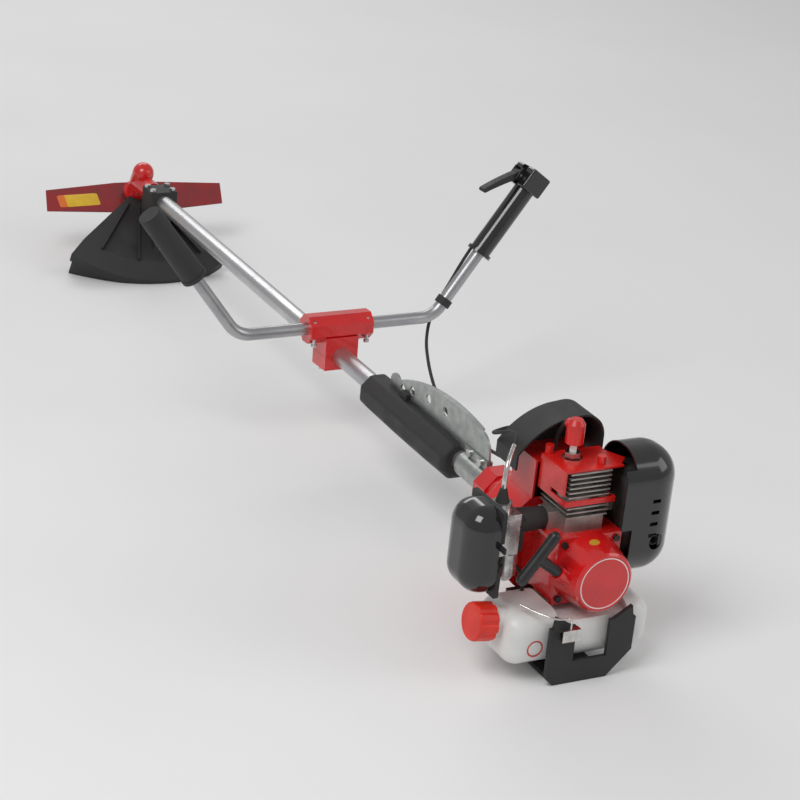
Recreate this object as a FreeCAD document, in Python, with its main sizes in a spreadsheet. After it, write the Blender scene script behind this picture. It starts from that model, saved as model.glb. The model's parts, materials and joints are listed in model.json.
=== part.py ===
import FreeCAD, Part
import math
import os
import re
import Sketcher
from FreeCAD import Placement, Rotation, Vector

# Two-stroke brush cutter with a bicycle handlebar and a two-tooth metal blade.
# Millimetres.  +Y runs forward along the shaft, +X is the operator's right, +Z is up.
# The row's origin is on the ground under the crank axis, in the middle of the tank stand.
#
# Most pieces are laid out in the machine frame: y = 0 is the rear face of the starter cover and
# z = 0 is the crank axis.  The head frame starts where the drive axis meets the output axis and
# leans back by head_tilt.  The bar frame starts in the middle of the handlebar clamp.  The rope
# frame is the machine frame turned about the crank axis until the starter rope runs along -X.

doc = FreeCAD.newDocument("BrushCutter")
sizes = doc.addObject("Spreadsheet::Sheet", "Sizes")

DRIVING_SIZES = {
    "whole machine": dict(
        axis_height=133, starter_face=-62, run_gap=0.03, part_gap=0.4, wall=2.5, screw_r=2.5,
        screw_head_r=4.4, screw_head=3.5),
    "starter": dict(
        cover_rear_r=41, cover_mid_r=46, cover_front_r=50, cover_edge=3, cover_mid=28, cover_depth=50,
        flange_half=46, flange_thick=6, cover_screw_at=38, post_r=5, post_end=29, pulley_rear=17,
        pulley_width=10, pulley_r=27, groove_r=18, groove_width=6, rope_r=1.75, rope_line=23.2,
        rope_rise=36.87, guide_r=9, guide_start=32, guide_end=54, rope_hole_r=3.2, grip_bar_r=7.5,
        grip_bar_length=66, grip_stem=38, grip_stem_r=7, spring_inner_r=8, spring_turns=6,
        spring_pitch=3.2, spring_strip=0.6, spring_width=9, spring_rear=5, cup_rear=32, cup_width=12,
        cup_r=17),
    "crankcase": dict(
        case_half=45, case_rear=50, case_front=125, case_bottom=-44, deck_z=43, deck_thick=5,
        deck_half=50, chamber_r=30, chamber_rear=79, chamber_front=105, crank_bearing_r=16,
        crank_bearing_width=10, crank_r=6, case_passage_r=8, crank_throw=17, crank_pin_r=6, web_r=27,
        web_thick=6.5, crank_rear=32, crank_front=180),
    "cylinder": dict(
        cylinder_y=92, block_x=56, block_y=56, block_top=62, core_r=24, fin_x=60, fin_y=64, fin_thick=2,
        fin_pitch=6.4, lower_fins=3, upper_fins=6, band_top=92, head_top=126, bore_r=20, bore_top=112,
        port_half=12, exhaust_z=70, exhaust_face=52, intake_face=44, piston_top=108, piston_bottom=82,
        piston_wall=2.5, pin_z=94, gudgeon_r=5, gudgeon_length=34, rod_width=10, rod_shank=8,
        rod_eye_r=7.6, rod_foot_half=12, rod_foot_top=32),
    "spark plug": dict(
        plug_x=-5, plug_y=102, thread_r=7, hex_across=19, hex_base=127, hex_height=10, ceramic_r=4.6,
        ceramic_top=158, cap_r=12, cap_base=149, cap_top=181, cap_shoulder=6, lead_r=3, coil_half=18,
        coil_base=62, coil_height=17, coil_rear=128.5, coil_width=8),
    "shroud": dict(
        shroud_top=129, shroud_left=-37, shroud_right=48, shroud_rear=56, shroud_front=123,
        shroud_plug_r=13.5, band_height=7, post_height=12, shroud_post_r=5.5),
    "fan side": dict(
        fan_r=78, fan_rear=125, fan_front=190, fan_wall=3, duct_half=42, duct_top=118, duct_front=180,
        flywheel_r=50, flywheel_rear=129, flywheel_thick=9, vane_count=14, vane_r=63, vane_inner=26,
        vane_height=11, vane_thick=2.2, shoe_rear=160, shoe_width=18, shoe_r=36.5, shoe_inner_r=17,
        shoe_gap=5, clutch_hub_r=11, drum_rear=157, drum_r=41, drum_wall=2, drum_depth=27,
        drum_boss_r=8.5, drum_boss_end=228, drum_bearing_r=17.5, drum_bearing_width=10,
        drum_bearing_at=202, socket_depth=22),
    "clutch housing": dict(
        cone_shoulder=196, cone_r=60, neck_start=240, neck_r=30, collar_start=258, collar_end=288,
        collar_r=34, drum_room_r=46, pinch_y=272, pinch_r=3, pinch_slot=2.4),
    "top hood": dict(
        hood_rear=132, hood_front=184, hood_left=-67, hood_right=60, hood_base=104, hood_peak=170,
        hood_peak_x=22, hood_left_z=124, hood_right_z=136, hood_shoulder_x=-38, hood_shoulder_z=152,
        hood_fall_x=52, hood_fall_z=158),
    "intake side": dict(
        insulator_end=-85, insulator_r=17, carb_left=-125, carb_rear=76, carb_depth=36, carb_base=16,
        carb_height=56, throat_r=9, slide_cap_r=13, slide_cap_height=12, boot_base_r=9, boot_tip_r=4.5,
        boot_height=18, guide_tube_r=3.2, choke_r=4, choke_length=44, choke_rise=30, choke_drop=34,
        filter_left=-170, filter_rear=45, filter_depth=80, filter_base_z=-25, filter_height=118,
        filter_plate=6, filter_round=30, bulb_r=11, bulb_x=-93, bulb_y=88, bulb_z=-14, bulb_ring_r=14,
        bulb_ring_height=9, bulb_flange=4),
    "muffler": dict(
        muffler_left=52, muffler_right=112, muffler_rear=50, muffler_front=112, muffler_base=6,
        muffler_height=112, muffler_round=14, muffler_wall=1.6, outlet_r=7, muff_cover_left=38,
        muff_cover_right=128, muff_cover_rear=34, muff_cover_front=124, muff_cover_base=-24,
        muff_cover_height=174, muff_cover_round=42, muff_cover_wall=2.2, muff_cover_step=54,
        muff_cover_sill=50, slot_length=12, slot_width=5, slot_pitch=16),
    "fuel": dict(
        tank_left=-122, tank_right=90, tank_rear=10, tank_front=105, tank_base=-112, tank_height=70,
        tank_round=24, saddle_gap=6, saddle_top=-54, tank_wall=2.4, neck_y=52, neck_z=-60,
        neck_outer_r=19, neck_bore_r=14.5, neck_length=20, fuel_cap_r=25, fuel_cap_thick=27,
        cap_flute_r=6, cap_flutes=10, cap_skirt=13, cap_lean=8, hose_r=2.6, hose_bore_r=1.4),
    "stand": dict(
        stand_mid=-10, stand_half=62, stand_rear=-4, stand_front=128, stand_floor=6, stand_wall=6,
        upright_width=37, upright_top=-52, band_rise=30, hook_rise=16, hook_reach=12, clip_out=60,
        clip_in=34, clip_depth=9, clip_height=16, foot_width=26, foot_spread=8, foot_height=14,
        foot_bevel=34, foot_back=22),
    "shaft": dict(
        tube_r=14, tube_wall=1.5, tube_start=242, tube_end=1560, drive_r=4, drive_start=207,
        drive_end=1566, bush_count=5, bush_length=26, first_bush=330, last_bush=1480),
    "hanger": dict(
        hanger_start=302, hanger_end=596, hanger_thick=3, hanger_rim=9, hanger_rim_thick=3,
        hanger_top=68, hanger_hole_r=7, hanger_small_r=3, hanger_clamp_r=18.5, hanger_clamp_end=364,
        lug_height=30, lug_thick=3, bolt_rise=10, hanger_toe_z=17, hanger_bolt_r=3,
        hanger_bolt_length=30, pad_start=378, pad_end=640, pad_r=27, pad_x=-3, pad_z=-4,
        pad_bracket_y=543, pad_bracket_top=33),
    "handlebar": dict(
        clamp_y=783, clamp_half=52, clamp_depth=42, bar_z=40.4, bar_r=9.5, bar_wall=1.6, saddle_half=27,
        saddle_length=44, saddle_shell=8, bar_corner=164, bend_r=42, arm_rise=53.3, arm_length=240,
        arm_lean=3, bar_join=4, grip_length=120, left_grip_r=19, right_grip_r=16.5, grip_collar=6,
        grip_collar_r=20, band_at=23, band_length=12, band_r=12.5),
    "throttle": dict(
        box_length=34, box_height=30, box_depth=52, box_gap=0.2, trigger_length=62, trigger_width=14,
        trigger_hub_r=7, trigger_pin_r=2.5, trigger_out=27, trigger_along=22, trigger_open=33,
        lock_length=16, lock_height=9, lock_width=9, cable_r=2.5),
    "gear head": dict(
        head_station=1600, head_tilt=30, head_r=19, head_base=-27, head_dome=26, head_flange_r=25,
        head_flange=5, head_room_r=15.5, neck_shell_r=19, neck_back=64, pinion_teeth=14, gear_teeth=19,
        cone_reach=23.7, face_width=8, mesh_gap=0.35, input_bearing_r=13, input_bearing_width=12,
        input_bearing_at=1561, pinion_hub_r=7, output_r=6, output_bearing_r=14, output_bearing_width=9,
        output_bearing_top=-10, cap_bearing_r=10, cap_bearing_base=32, cap_bearing_width=6,
        cap_stub_r=4, output_end=-62),
    "blade": dict(
        blade_half=172, blade_mid_half=35, blade_tip_half=24, blade_thick=2, blade_mid_x=30,
        blade_z=-39, tip_shear=9.5, arbor_r=12.5, flange_r=24, flange_disc=5, washer_r=22,
        washer_thick=4, nut_across=19, nut_height=12, blade_turn=-1.5),
    "guard": dict(
        guard_inner_r=27, guard_r=208, guard_deck_z=-14, guard_drop=-26, guard_thick=3, guard_skirt=-44,
        flap_bottom=-84, guard_sweep=84, guard_turn=9, flap_sweep=52, flap_turn=24, rib_half=1.5,
        rib_rise=7, rib_start=48, rib_end=176, bracket_length=44, bracket_y=1504, bracket_half=24,
        bracket_leg_half=14, bracket_reach=95, bracket_bolt=13),
}

ALIASES = set()
row = 1
for group, entries in DRIVING_SIZES.items():
    sizes.set(f"A{row}", group)
    for alias, number in entries.items():
        row += 1
        sizes.set(f"A{row}", alias)
        sizes.set(f"B{row}", str(number))
        sizes.setAlias(f"B{row}", alias)
        ALIASES.add(alias)
    row += 1
doc.recompute()


class SheetReader:
    """Reads a driving size from the sheet: d.bar_r is the cell with the alias bar_r."""

    def __getattr__(self, alias):
        return float(sizes.get(alias))


d = SheetReader()
TURN_TO = {"X": Rotation(Vector(0, 1, 0), 90), "Y": Rotation(Vector(1, 0, 0), -90), "Z": Rotation()}


def sheet_expression(text):
    """Write the sheet's name before every alias in an expression."""
    return re.sub(r"[a-z_]+", lambda m: "Sizes." + m.group() if m.group() in ALIASES else m.group(), text)


def bind(thing, **properties):
    """Tie properties to the sheet; x, y and z stand for the place of the piece."""
    for name, text in properties.items():
        path = f"Placement.Base.{name}" if name in ("x", "y", "z") else name
        thing.setExpression(path, sheet_expression(text))
    return thing


def rod(axis, radius, length, x="0", y="0", z="0"):
    """A cylinder that starts at x, y, z and runs along +axis."""
    thing = doc.addObject("Part::Cylinder", "Rod")
    thing.Placement.Rotation = TURN_TO[axis]
    return bind(thing, Radius=radius, Height=length, x=x, y=y, z=z)


def cone(axis, start_radius, end_radius, length, x="0", y="0", z="0"):
    """A cone frustum that starts at x, y, z and runs along +axis."""
    thing = doc.addObject("Part::Cone", "Cone")
    thing.Placement.Rotation = TURN_TO[axis]
    return bind(thing, Radius1=start_radius, Radius2=end_radius, Height=length, x=x, y=y, z=z)


def ball(radius, x="0", y="0", z="0"):
    return bind(doc.addObject("Part::Sphere", "Ball"), Radius=radius, x=x, y=y, z=z)


def box(x, y, z):
    """A box between low and high expressions, such as ("-half", "half") along X."""
    thing = doc.addObject("Part::Box", "Box")
    return bind(thing, Length=f"({x[1]}) - ({x[0]})", Width=f"({y[1]}) - ({y[0]})",
                Height=f"({z[1]}) - ({z[0]})", x=x[0], y=y[0], z=z[0])


def prism(sides, axis, corner_radius, length, x="0", y="0", z="0", twist=0):
    """A regular prism that starts at x, y, z and runs along +axis."""
    thing = doc.addObject("Part::Prism", "Prism")
    thing.Polygon = sides
    thing.Placement.Rotation = TURN_TO[axis].multiply(Rotation(Vector(0, 0, 1), twist))
    return bind(thing, Circumradius=corner_radius, Height=length, x=x, y=y, z=z)


def fuse(*things):
    thing = doc.addObject("Part::MultiFuse", "Joined")
    thing.Shapes = list(things)
    thing.Refine = True
    return thing


def cut(base, *tools):
    thing = doc.addObject("Part::Cut", "Cut")
    thing.Base = base
    thing.Tool = tools[0] if len(tools) == 1 else fuse(*tools)
    return thing


def tube(axis, radius, bore, length, x="0", y="0", z="0"):
    return cut(rod(axis, radius, length, x, y, z), rod(axis, bore, length, x, y, z))


def group(*things):
    """Separate solids that make one sub-part, such as a set of screws."""
    thing = doc.addObject("Part::Compound", "Set")
    thing.Links = list(things)
    return thing


def turned(thing, axis, angle):
    """Turn a finished shape about an axis through its frame's origin."""
    thing.Placement.Rotation = Rotation(Vector(*axis), 1)
    thing.setExpression("Placement.Rotation.Angle", sheet_expression(angle))
    return thing


def solid(shape):
    """Hold a shape worked out with Part's own functions, its own place worked into its geometry."""
    place = shape.Placement
    shape.Placement = Placement()
    thing = doc.addObject("Part::Feature", "Shape")
    thing.Shape = shape.transformed(place.toMatrix(), True)
    return thing


def origin_plane(body, role):
    return [f for f in body.Origin.OriginFeatures if f.Role == role][0]


def polygon_sketch(body, plane, points):
    """A closed outline whose every corner is tied to the sheet by two distances."""
    sketch = body.newObject("Sketcher::SketchObject", "Outline")
    sketch.AttachmentSupport = [(origin_plane(body, plane), "")]
    sketch.MapMode = "FlatFace"
    spots = [corner_guess(point) for point in points]
    for i, spot in enumerate(spots):
        sketch.addGeometry(Part.LineSegment(spot, spots[(i + 1) % len(spots)]))
    for i, point in enumerate(points):
        sketch.addConstraint(Sketcher.Constraint("Coincident", i, 2, (i + 1) % len(points), 1))
        for kind, text, value in zip(("DistanceX", "DistanceY"), point, (spots[i].x, spots[i].y)):
            index = sketch.addConstraint(Sketcher.Constraint(kind, i, 1, value))
            sketch.setExpression(f"Constraints[{index}]", sheet_expression(text))
    return sketch


def corner_guess(point):
    """The corner's first place, read through the sheet's own evaluation of the same words."""
    probe = doc.addObject("Part::Vertex", "Probe")
    bind(probe, X=point[0], Y=point[1])
    probe.recompute()
    spot = Vector(probe.X.Value, probe.Y.Value, 0)
    doc.removeObject(probe.Name)
    return spot


def revolved(points, plane="XY_Plane", angle="360", both_ways=False):
    """A PartDesign body: an outline of (radius, height) corners turned about the vertical axis."""
    body = doc.addObject("PartDesign::Body", "Turned")
    sketch = polygon_sketch(body, plane, points)
    feature = body.newObject("PartDesign::Revolution", "Revolution")
    feature.Profile = sketch
    feature.ReferenceAxis = (sketch, ["V_Axis"])
    feature.Midplane = both_ways
    bind(feature, Angle=angle)
    return body


def padded(points, length, plane="XY_Plane", middle=False):
    """A PartDesign body: an outline pushed out by a length."""
    body = doc.addObject("PartDesign::Body", "Plate")
    sketch = polygon_sketch(body, plane, points)
    feature = body.newObject("PartDesign::Pad", "Pad")
    feature.Profile = sketch
    feature.Midplane = middle
    bind(feature, Length=length)
    return body


SUBPARTS = []


def subpart(label, *things):
    """Name a finished sub-part: one shape, or a set of separate solids that share a node."""
    thing = things[0] if len(things) == 1 else group(*things)
    thing.Label = label
    SUBPARTS.append(thing)
    return thing


def framed(thing):
    """Keep a primitive's own place inside a set, so that its frame can be placed."""
    return group(thing) if thing.TypeId in ("Part::Cylinder", "Part::Box", "Part::Cone") else thing


def machine(thing):
    """Place a shape that was laid out in the machine frame."""
    return bind(framed(thing), y="starter_face", z="axis_height")


def on_head(thing):
    """Place a shape that was laid out in the head frame."""
    return bind(turned(framed(thing), (1, 0, 0), "head_tilt"), y="starter_face + head_station", z="axis_height")


def on_bar(thing):
    """Place a shape that was laid out in the bar frame."""
    return bind(turned(framed(thing), (1, 0, 0), "-arm_lean"), y="starter_face + clamp_y", z="axis_height + bar_z")


def on_rope(thing):
    """Place a shape that was laid out in the rope frame."""
    return machine(turned(framed(thing), (0, 1, 0), "rope_rise"))


def machine_part(label, *things):
    return subpart(label, *[machine(thing) for thing in things])


def head_part(label, *things):
    return subpart(label, *[on_head(thing) for thing in things])


def bar_part(label, *things):
    return subpart(label, *[on_bar(thing) for thing in things])


def rope_part(label, *things):
    return subpart(label, *[on_rope(thing) for thing in things])


def rounded_box(low, high, radius, axes="XYZ"):
    """A box with the edges along the named axes rounded."""
    size = high - low
    block = Part.makeBox(size.x, size.y, size.z, low)
    along = {"X": Vector(1, 0, 0), "Y": Vector(0, 1, 0), "Z": Vector(0, 0, 1)}
    chosen = [edge for edge in block.Edges
              for axis in axes if abs(edge.tangentAt(edge.FirstParameter).dot(along[axis])) > 0.99]
    return block.makeFillet(min(radius, 0.48 * min(size)), chosen)


def outline_face(start, *steps):
    """A flat face from a start point and steps: (end,) is a line, (middle, end) an arc."""
    edges = []
    here = start
    for step in steps:
        if len(step) == 1:
            edges.append(Part.LineSegment(here, step[0]).toShape())
        else:
            edges.append(Part.Arc(here, step[0], step[1]).toShape())
        here = step[-1]
    if here.distanceToPoint(start) > 1e-6:
        edges.append(Part.LineSegment(here, start).toShape())
    return Part.Face(Part.Wire(edges))


def rounded_path(points, share=0.45):
    """Straight runs joined by tangent arcs, each arc as large as its two runs allow."""
    edges = []
    radii = []
    here = points[0]
    for before, corner, after in zip(points, points[1:], points[2:]):
        back = (before - corner).normalize()
        onward = (after - corner).normalize()
        reach = share * min((before - corner).Length, (after - corner).Length)
        half_turn = (math.pi - back.getAngle(onward)) / 2
        radius = reach / math.tan(half_turn)
        inward = (back + onward).normalize()
        middle = corner + inward * (radius / math.cos(half_turn) - radius)
        start = corner + back * reach
        edges.append(Part.LineSegment(here, start).toShape())
        here = corner + onward * reach
        edges.append(Part.Arc(start, middle, here).toShape())
        radii.append(round(radius, 1))
    edges.append(Part.LineSegment(here, points[-1]).toShape())
    return Part.Wire(edges), radii


def swept_tube(label, points, radius, bore=0):
    """A round tube along a path of runs and arcs; prints its radii and checks its volume."""
    path, radii = rounded_path(points)
    along = (points[1] - points[0]).normalize()
    ring = Part.Wire(Part.makeCircle(radius, points[0], along))
    shape = path.makePipeShell([ring], True, False)
    expected = math.pi * radius ** 2 * path.Length
    print(f"{label}: length {path.Length:.0f}, radii {radii}, volume ratio {shape.Volume / expected:.3f}")
    if bore:
        ring = Part.Wire(Part.makeCircle(bore, points[0], along))
        shape = shape.cut(path.makePipeShell([ring], True, False))
    return solid(shape)


# ---------------------------------------------------------------- starter
# The cover is a turned cup with a square flange; the rope leaves through a boss on its left.
shell = revolved([
    ("0", "0"), ("cover_rear_r - cover_edge", "0"), ("cover_rear_r", "cover_edge"),
    ("cover_mid_r", "cover_mid"), ("cover_front_r", "cover_depth"),
    ("cover_front_r - wall", "cover_depth"), ("cover_mid_r - wall", "cover_mid"),
    ("cover_rear_r - wall", "cover_edge + wall"), ("cover_rear_r - cover_edge - wall", "wall"),
    ("0", "wall")])
flange = cut(
    box(("-flange_half", "flange_half"), ("cover_depth - flange_thick", "cover_depth"),
        ("-flange_half", "flange_half")),
    rod("Y", "cover_front_r - wall - 1", "cover_depth"))
rope_y = "pulley_rear + pulley_width / 2"
guide_boss = rod("X", "guide_r", "guide_end - guide_start", "-guide_end", rope_y, "-rope_line")
rope_hole = rod("X", "rope_hole_r", "guide_end + 1", "-guide_end - 1", rope_y, "-rope_line")
cup_inside = rod("Y", "cover_mid_r - wall - 1.2", "cover_mid - wall", y="wall")
guide = turned(cut(guide_boss, cup_inside), (0, 1, 0), "rope_rise")
hole_through = turned(group(rope_hole), (0, 1, 0), "rope_rise")
corners = [(sx, sz) for sx in ("-", "") for sz in ("-", "")]
cover_holes = [rod("Y", "screw_r", "cover_depth", f"{sx}cover_screw_at", "1", f"{sz}cover_screw_at")
               for sx, sz in corners]
post = rod("Y", "post_r", "post_end - wall", y="wall")
machine_part("starter_cover", fuse(cut(fuse(shell, flange, guide), hole_through, *cover_holes), post))

pulley_body = rod("Y", "pulley_r", "pulley_width", y="pulley_rear")
groove = tube("Y", "pulley_r + 1", "groove_r", "groove_width",
              y="pulley_rear + (pulley_width - groove_width) / 2")
rope_winding = tube("Y", "rope_line - rope_r - part_gap", "groove_r", "groove_width",
                    y="pulley_rear + (pulley_width - groove_width) / 2")
machine_part("starter_pulley", cut(pulley_body, groove, rod("Y", "post_r + run_gap", "cover_depth")),
             rope_winding)


def spiral_strip(inner_radius, turns, pitch, strip, width):
    """A flat coiled spring: half circles whose radius grows by a quarter of the pitch."""
    inside, outside = [], []
    radius = inner_radius
    centre = 0.0
    for half in range(int(2 * turns)):
        side = 1 if half % 2 == 0 else -1
        for edges, extra in ((inside, 0.0), (outside, strip)):
            reach = radius + extra
            edges.append(Part.Arc(Vector(centre + side * reach, 0, 0), Vector(centre, 0, side * reach),
                                  Vector(centre - side * reach, 0, 0)).toShape())
        centre += side * pitch / 4
        radius += pitch / 4
    start = Part.LineSegment(inside[0].Vertexes[0].Point, outside[0].Vertexes[0].Point).toShape()
    last_in, last_out = inside[-1].Vertexes[-1].Point, outside[-1].Vertexes[-1].Point
    finish = Part.LineSegment(last_in, last_out).toShape()
    return Part.Face(Part.Wire(Part.sortEdges(inside + outside + [start, finish])[0])).extrude(
        Vector(0, width, 0))


spring = spiral_strip(d.spring_inner_r, d.spring_turns, d.spring_pitch, d.spring_strip, d.spring_width)
spring.translate(Vector(0, d.spring_rear, 0))
machine_part("recoil_spring", solid(spring))

starter_rope = rod("X", "rope_r", "guide_end + 6", "-guide_end - 8", rope_y, "-rope_line")
stem = cone("X", "grip_bar_r", "grip_stem_r", "grip_stem", "-guide_end - 1 - grip_stem", rope_y, "-rope_line")
bar = rod("Z", "grip_bar_r", "grip_bar_length", "-guide_end - 1 - grip_stem", rope_y,
          "-rope_line - grip_bar_length / 2")
ends = [ball("grip_bar_r", "-guide_end - 1 - grip_stem", rope_y, f"-rope_line {sign} grip_bar_length / 2")
        for sign in "-+"]
rope_socket = rod("X", "rope_r", "20", "-guide_end - 8", rope_y, "-rope_line")
rope_part("pull_handle", cut(fuse(stem, bar, *ends), rope_socket), starter_rope)

starter_cup = cut(rod("Y", "cup_r", "cup_width", y="cup_rear"),
          rod("Y", "cup_r - wall", "cup_width - 3", y="cup_rear - 1"),
          rod("Y", "crank_r", "cup_width + 2", y="cup_rear - 1"))

# ---------------------------------------------------------------- crankcase and crank train
case_block = box(("-case_half", "case_half"), ("case_rear", "case_front"), ("case_bottom", "deck_z"))
deck = box(("-deck_half", "deck_half"), ("case_rear", "case_front - 1"),
           ("deck_z - deck_thick", "deck_z"))
case_cuts = [
    rod("Y", "chamber_r", "chamber_front - chamber_rear", y="chamber_rear"),
    rod("Y", "crank_bearing_r", "chamber_front - chamber_rear + 2 * crank_bearing_width",
        y="chamber_rear - crank_bearing_width"),
    rod("Y", "case_passage_r", "case_front - case_rear + 2", y="case_rear - 1"),
    rod("Z", "bore_r", "deck_z + 1", y="cylinder_y")]
case_cuts += [rod("Y", "screw_r", "14", f"{sx}cover_screw_at", "case_rear", f"{sz}cover_screw_at")
              for sx, sz in corners]
machine_part("crankcase", cut(fuse(case_block, deck), *case_cuts))
crank_bearings = [
    tube("Y", "crank_bearing_r", "crank_r + run_gap", "crank_bearing_width", y=y)
    for y in ("chamber_rear - crank_bearing_width", "chamber_front")]
crankshaft = fuse(
    rod("Y", "crank_r", "chamber_rear - crank_rear + 1", y="crank_rear"),
    rod("Y", "crank_r", "crank_front - chamber_front + 1", y="chamber_front - 1"),
    rod("Y", "web_r", "web_thick", y="chamber_rear + 0.5"),
    rod("Y", "web_r", "web_thick", y="chamber_front - 0.5 - web_thick"),
    rod("Y", "crank_pin_r", "chamber_front - chamber_rear - 2", y="chamber_rear + 1", z="crank_throw"))
clutch_hub = cut(
    fuse(rod("Y", "clutch_hub_r", "shoe_width", y="shoe_rear"),
         box(("-shoe_gap / 2 + part_gap", "shoe_gap / 2 - part_gap"), ("shoe_rear", "shoe_rear + shoe_width"),
             ("-shoe_r + 4", "shoe_r - 4"))),
    rod("Y", "crank_r", "shoe_width + 2", y="shoe_rear - 1"))
machine_part("crankshaft", crankshaft, starter_cup, clutch_hub)
piston = cut(
    rod("Z", "bore_r - run_gap", "piston_top - piston_bottom", y="cylinder_y", z="piston_bottom"),
    rod("Z", "bore_r - run_gap - piston_wall", "piston_top - piston_bottom - 5", y="cylinder_y",
        z="piston_bottom - 1"),
    rod("Y", "gudgeon_r", "gudgeon_length", y="cylinder_y - gudgeon_length / 2", z="pin_z"))
gudgeon_pin = rod("Y", "gudgeon_r", "gudgeon_length", y="cylinder_y - gudgeon_length / 2", z="pin_z")
rod_y = ("cylinder_y - rod_width / 2", "cylinder_y + rod_width / 2")
connecting_rod = cut(
    fuse(rod("Y", "rod_eye_r", "rod_width", y=rod_y[0], z="pin_z"),
         box(("-rod_shank / 2", "rod_shank / 2"), rod_y, ("crank_throw", "pin_z")),
         box(("-rod_foot_half", "rod_foot_half"), rod_y, ("crank_throw", "rod_foot_top"))),
    rod("Y", "crank_throw + crank_pin_r + part_gap", "rod_width + 2", y="cylinder_y - rod_width / 2 - 1"),
    rod("Y", "gudgeon_r", "rod_width + 2", y="cylinder_y - rod_width / 2 - 1", z="pin_z"))
machine_part("piston_and_rod", piston, gudgeon_pin, connecting_rod)

# ---------------------------------------------------------------- cylinder, plug and shroud
def fin(z):
    return box(("-fin_x / 2", "fin_x / 2"), ("cylinder_y - fin_y / 2", "cylinder_y + fin_y / 2"),
               (z, f"{z} + fin_thick"))


fins = [fin(f"block_top + 2 + {i} * fin_pitch") for i in range(int(d.lower_fins))]
fins += [fin(f"band_top + {i} * fin_pitch") for i in range(int(d.upper_fins))]
block = box(("-block_x / 2", "block_x / 2"), ("cylinder_y - block_y / 2", "cylinder_y + block_y / 2"),
            ("deck_z", "block_top"))
core = rod("Z", "core_r", "head_top - deck_z", y="cylinder_y", z="deck_z")
exhaust_boss = box(("0", "exhaust_face"), ("cylinder_y - port_half", "cylinder_y + port_half"),
                   ("exhaust_z - port_half", "exhaust_z + port_half"))
intake_boss = box(("-intake_face", "0"), ("cylinder_y - port_half", "cylinder_y + port_half"),
                  ("deck_z", "deck_z + 2 * port_half"))
cylinder = cut(
    fuse(block, core, exhaust_boss, intake_boss, *fins),
    rod("Z", "bore_r", "bore_top - deck_z + 1", y="cylinder_y", z="deck_z - 1"),
    rod("Z", "thread_r", "head_top - bore_top + 2", "plug_x", "plug_y", "bore_top - 1"),
    rod("X", "port_half - 4", "exhaust_face", "1", "cylinder_y", "exhaust_z"),
    rod("X", "port_half - 5", "intake_face", "-intake_face - 1", "cylinder_y", "deck_z + port_half"))
machine_part("cylinder", cylinder)

plug = fuse(
    rod("Z", "thread_r", "hex_base - bore_top", "plug_x", "plug_y", "bore_top"),
    prism(6, "Z", "hex_across / 2 / cos(30)", "hex_height", "plug_x", "plug_y", "hex_base"),
    rod("Z", "ceramic_r", "ceramic_top - hex_base", "plug_x", "plug_y", "hex_base"))
machine_part("spark_plug", plug)
plug_cap = cut(
    fuse(rod("Z", "cap_r", "cap_top - cap_shoulder - cap_base", "plug_x", "plug_y", "cap_base"),
         cone("Z", "cap_r", "cap_r - 4", "cap_shoulder", "plug_x", "plug_y", "cap_top - cap_shoulder"),
         rod("Y", "cap_r - 5", "cap_r + 4", "plug_x", "plug_y", "cap_top - cap_r")),
    rod("Z", "ceramic_r", "ceramic_top - cap_base + 1", "plug_x", "plug_y", "cap_base - 1"),
    rod("Y", "lead_r", "6", "plug_x", "plug_y + cap_r", "cap_top - cap_r"))
machine_part("spark_plug_cap", plug_cap)
coil = cut(
    box(("-coil_half", "coil_half"), ("coil_rear", "coil_rear + coil_width"),
        ("coil_base", "coil_base + coil_height")),
    rod("Y", "vane_r + 2", "coil_width + 2", y="coil_rear - 1"))
lead_drop_y = d.coil_rear + 2 * d.coil_width
coil_top = Vector(d.plug_x, d.coil_rear + d.coil_width / 2, d.coil_base + d.coil_height)
plug_lead = swept_tube("plug_lead", [
    Vector(d.plug_x, d.plug_y + d.cap_r, d.cap_top - d.cap_r),
    Vector(d.plug_x, d.plug_y + d.cap_r + 10, d.cap_top - d.cap_r),
    Vector(d.plug_x, lead_drop_y, d.cap_top - 41),
    Vector(d.plug_x, lead_drop_y, coil_top.z + 24),
    Vector(d.plug_x, coil_top.y, coil_top.z + 12), coil_top], d.lead_r)
machine_part("ignition_coil", coil, plug_lead)

shroud_roof = cut(
    box(("shroud_left", "shroud_right"), ("shroud_rear + 6", "shroud_front"),
        ("shroud_top - wall", "shroud_top")),
    rod("Z", "shroud_plug_r", "wall + 2", "plug_x", "plug_y", "shroud_top - wall - 1"))
left_wall = box(("shroud_left", "shroud_left + wall"), ("shroud_rear + 6", "shroud_front"),
                ("band_top + 4", "shroud_top"))
band_z = ("band_top - fin_thick - band_height", "band_top - fin_thick")
band = cut(
    box(("shroud_left", "-shroud_left"), ("shroud_rear", "shroud_front"), band_z),
    box(("shroud_left + wall", "-shroud_left - wall"), ("shroud_rear + wall", "shroud_front + 1"),
        ("band_top - fin_thick - band_height - 1", "band_top")))
wall_tie = box(("shroud_left", "shroud_left + wall"), ("shroud_front - 30", "shroud_front"),
               ("band_top - fin_thick - band_height", "shroud_top"))
tip = padded([("shroud_right - 1", "shroud_rear + 12"), ("shroud_right + 14", "shroud_rear + 26"),
              ("shroud_right - 1", "shroud_front - 12")], "wall")
bind(tip, z="shroud_top - wall")
posts = [rod("Z", "shroud_post_r", "post_height", x, y, "shroud_top - 1")
         for x, y in (("shroud_left + 10", "plug_y + 20"), ("plug_x + 26", "shroud_rear + 18"))]
machine_part("cylinder_shroud", fuse(shroud_roof, left_wall, band, wall_tie, tip, *posts))

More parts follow.
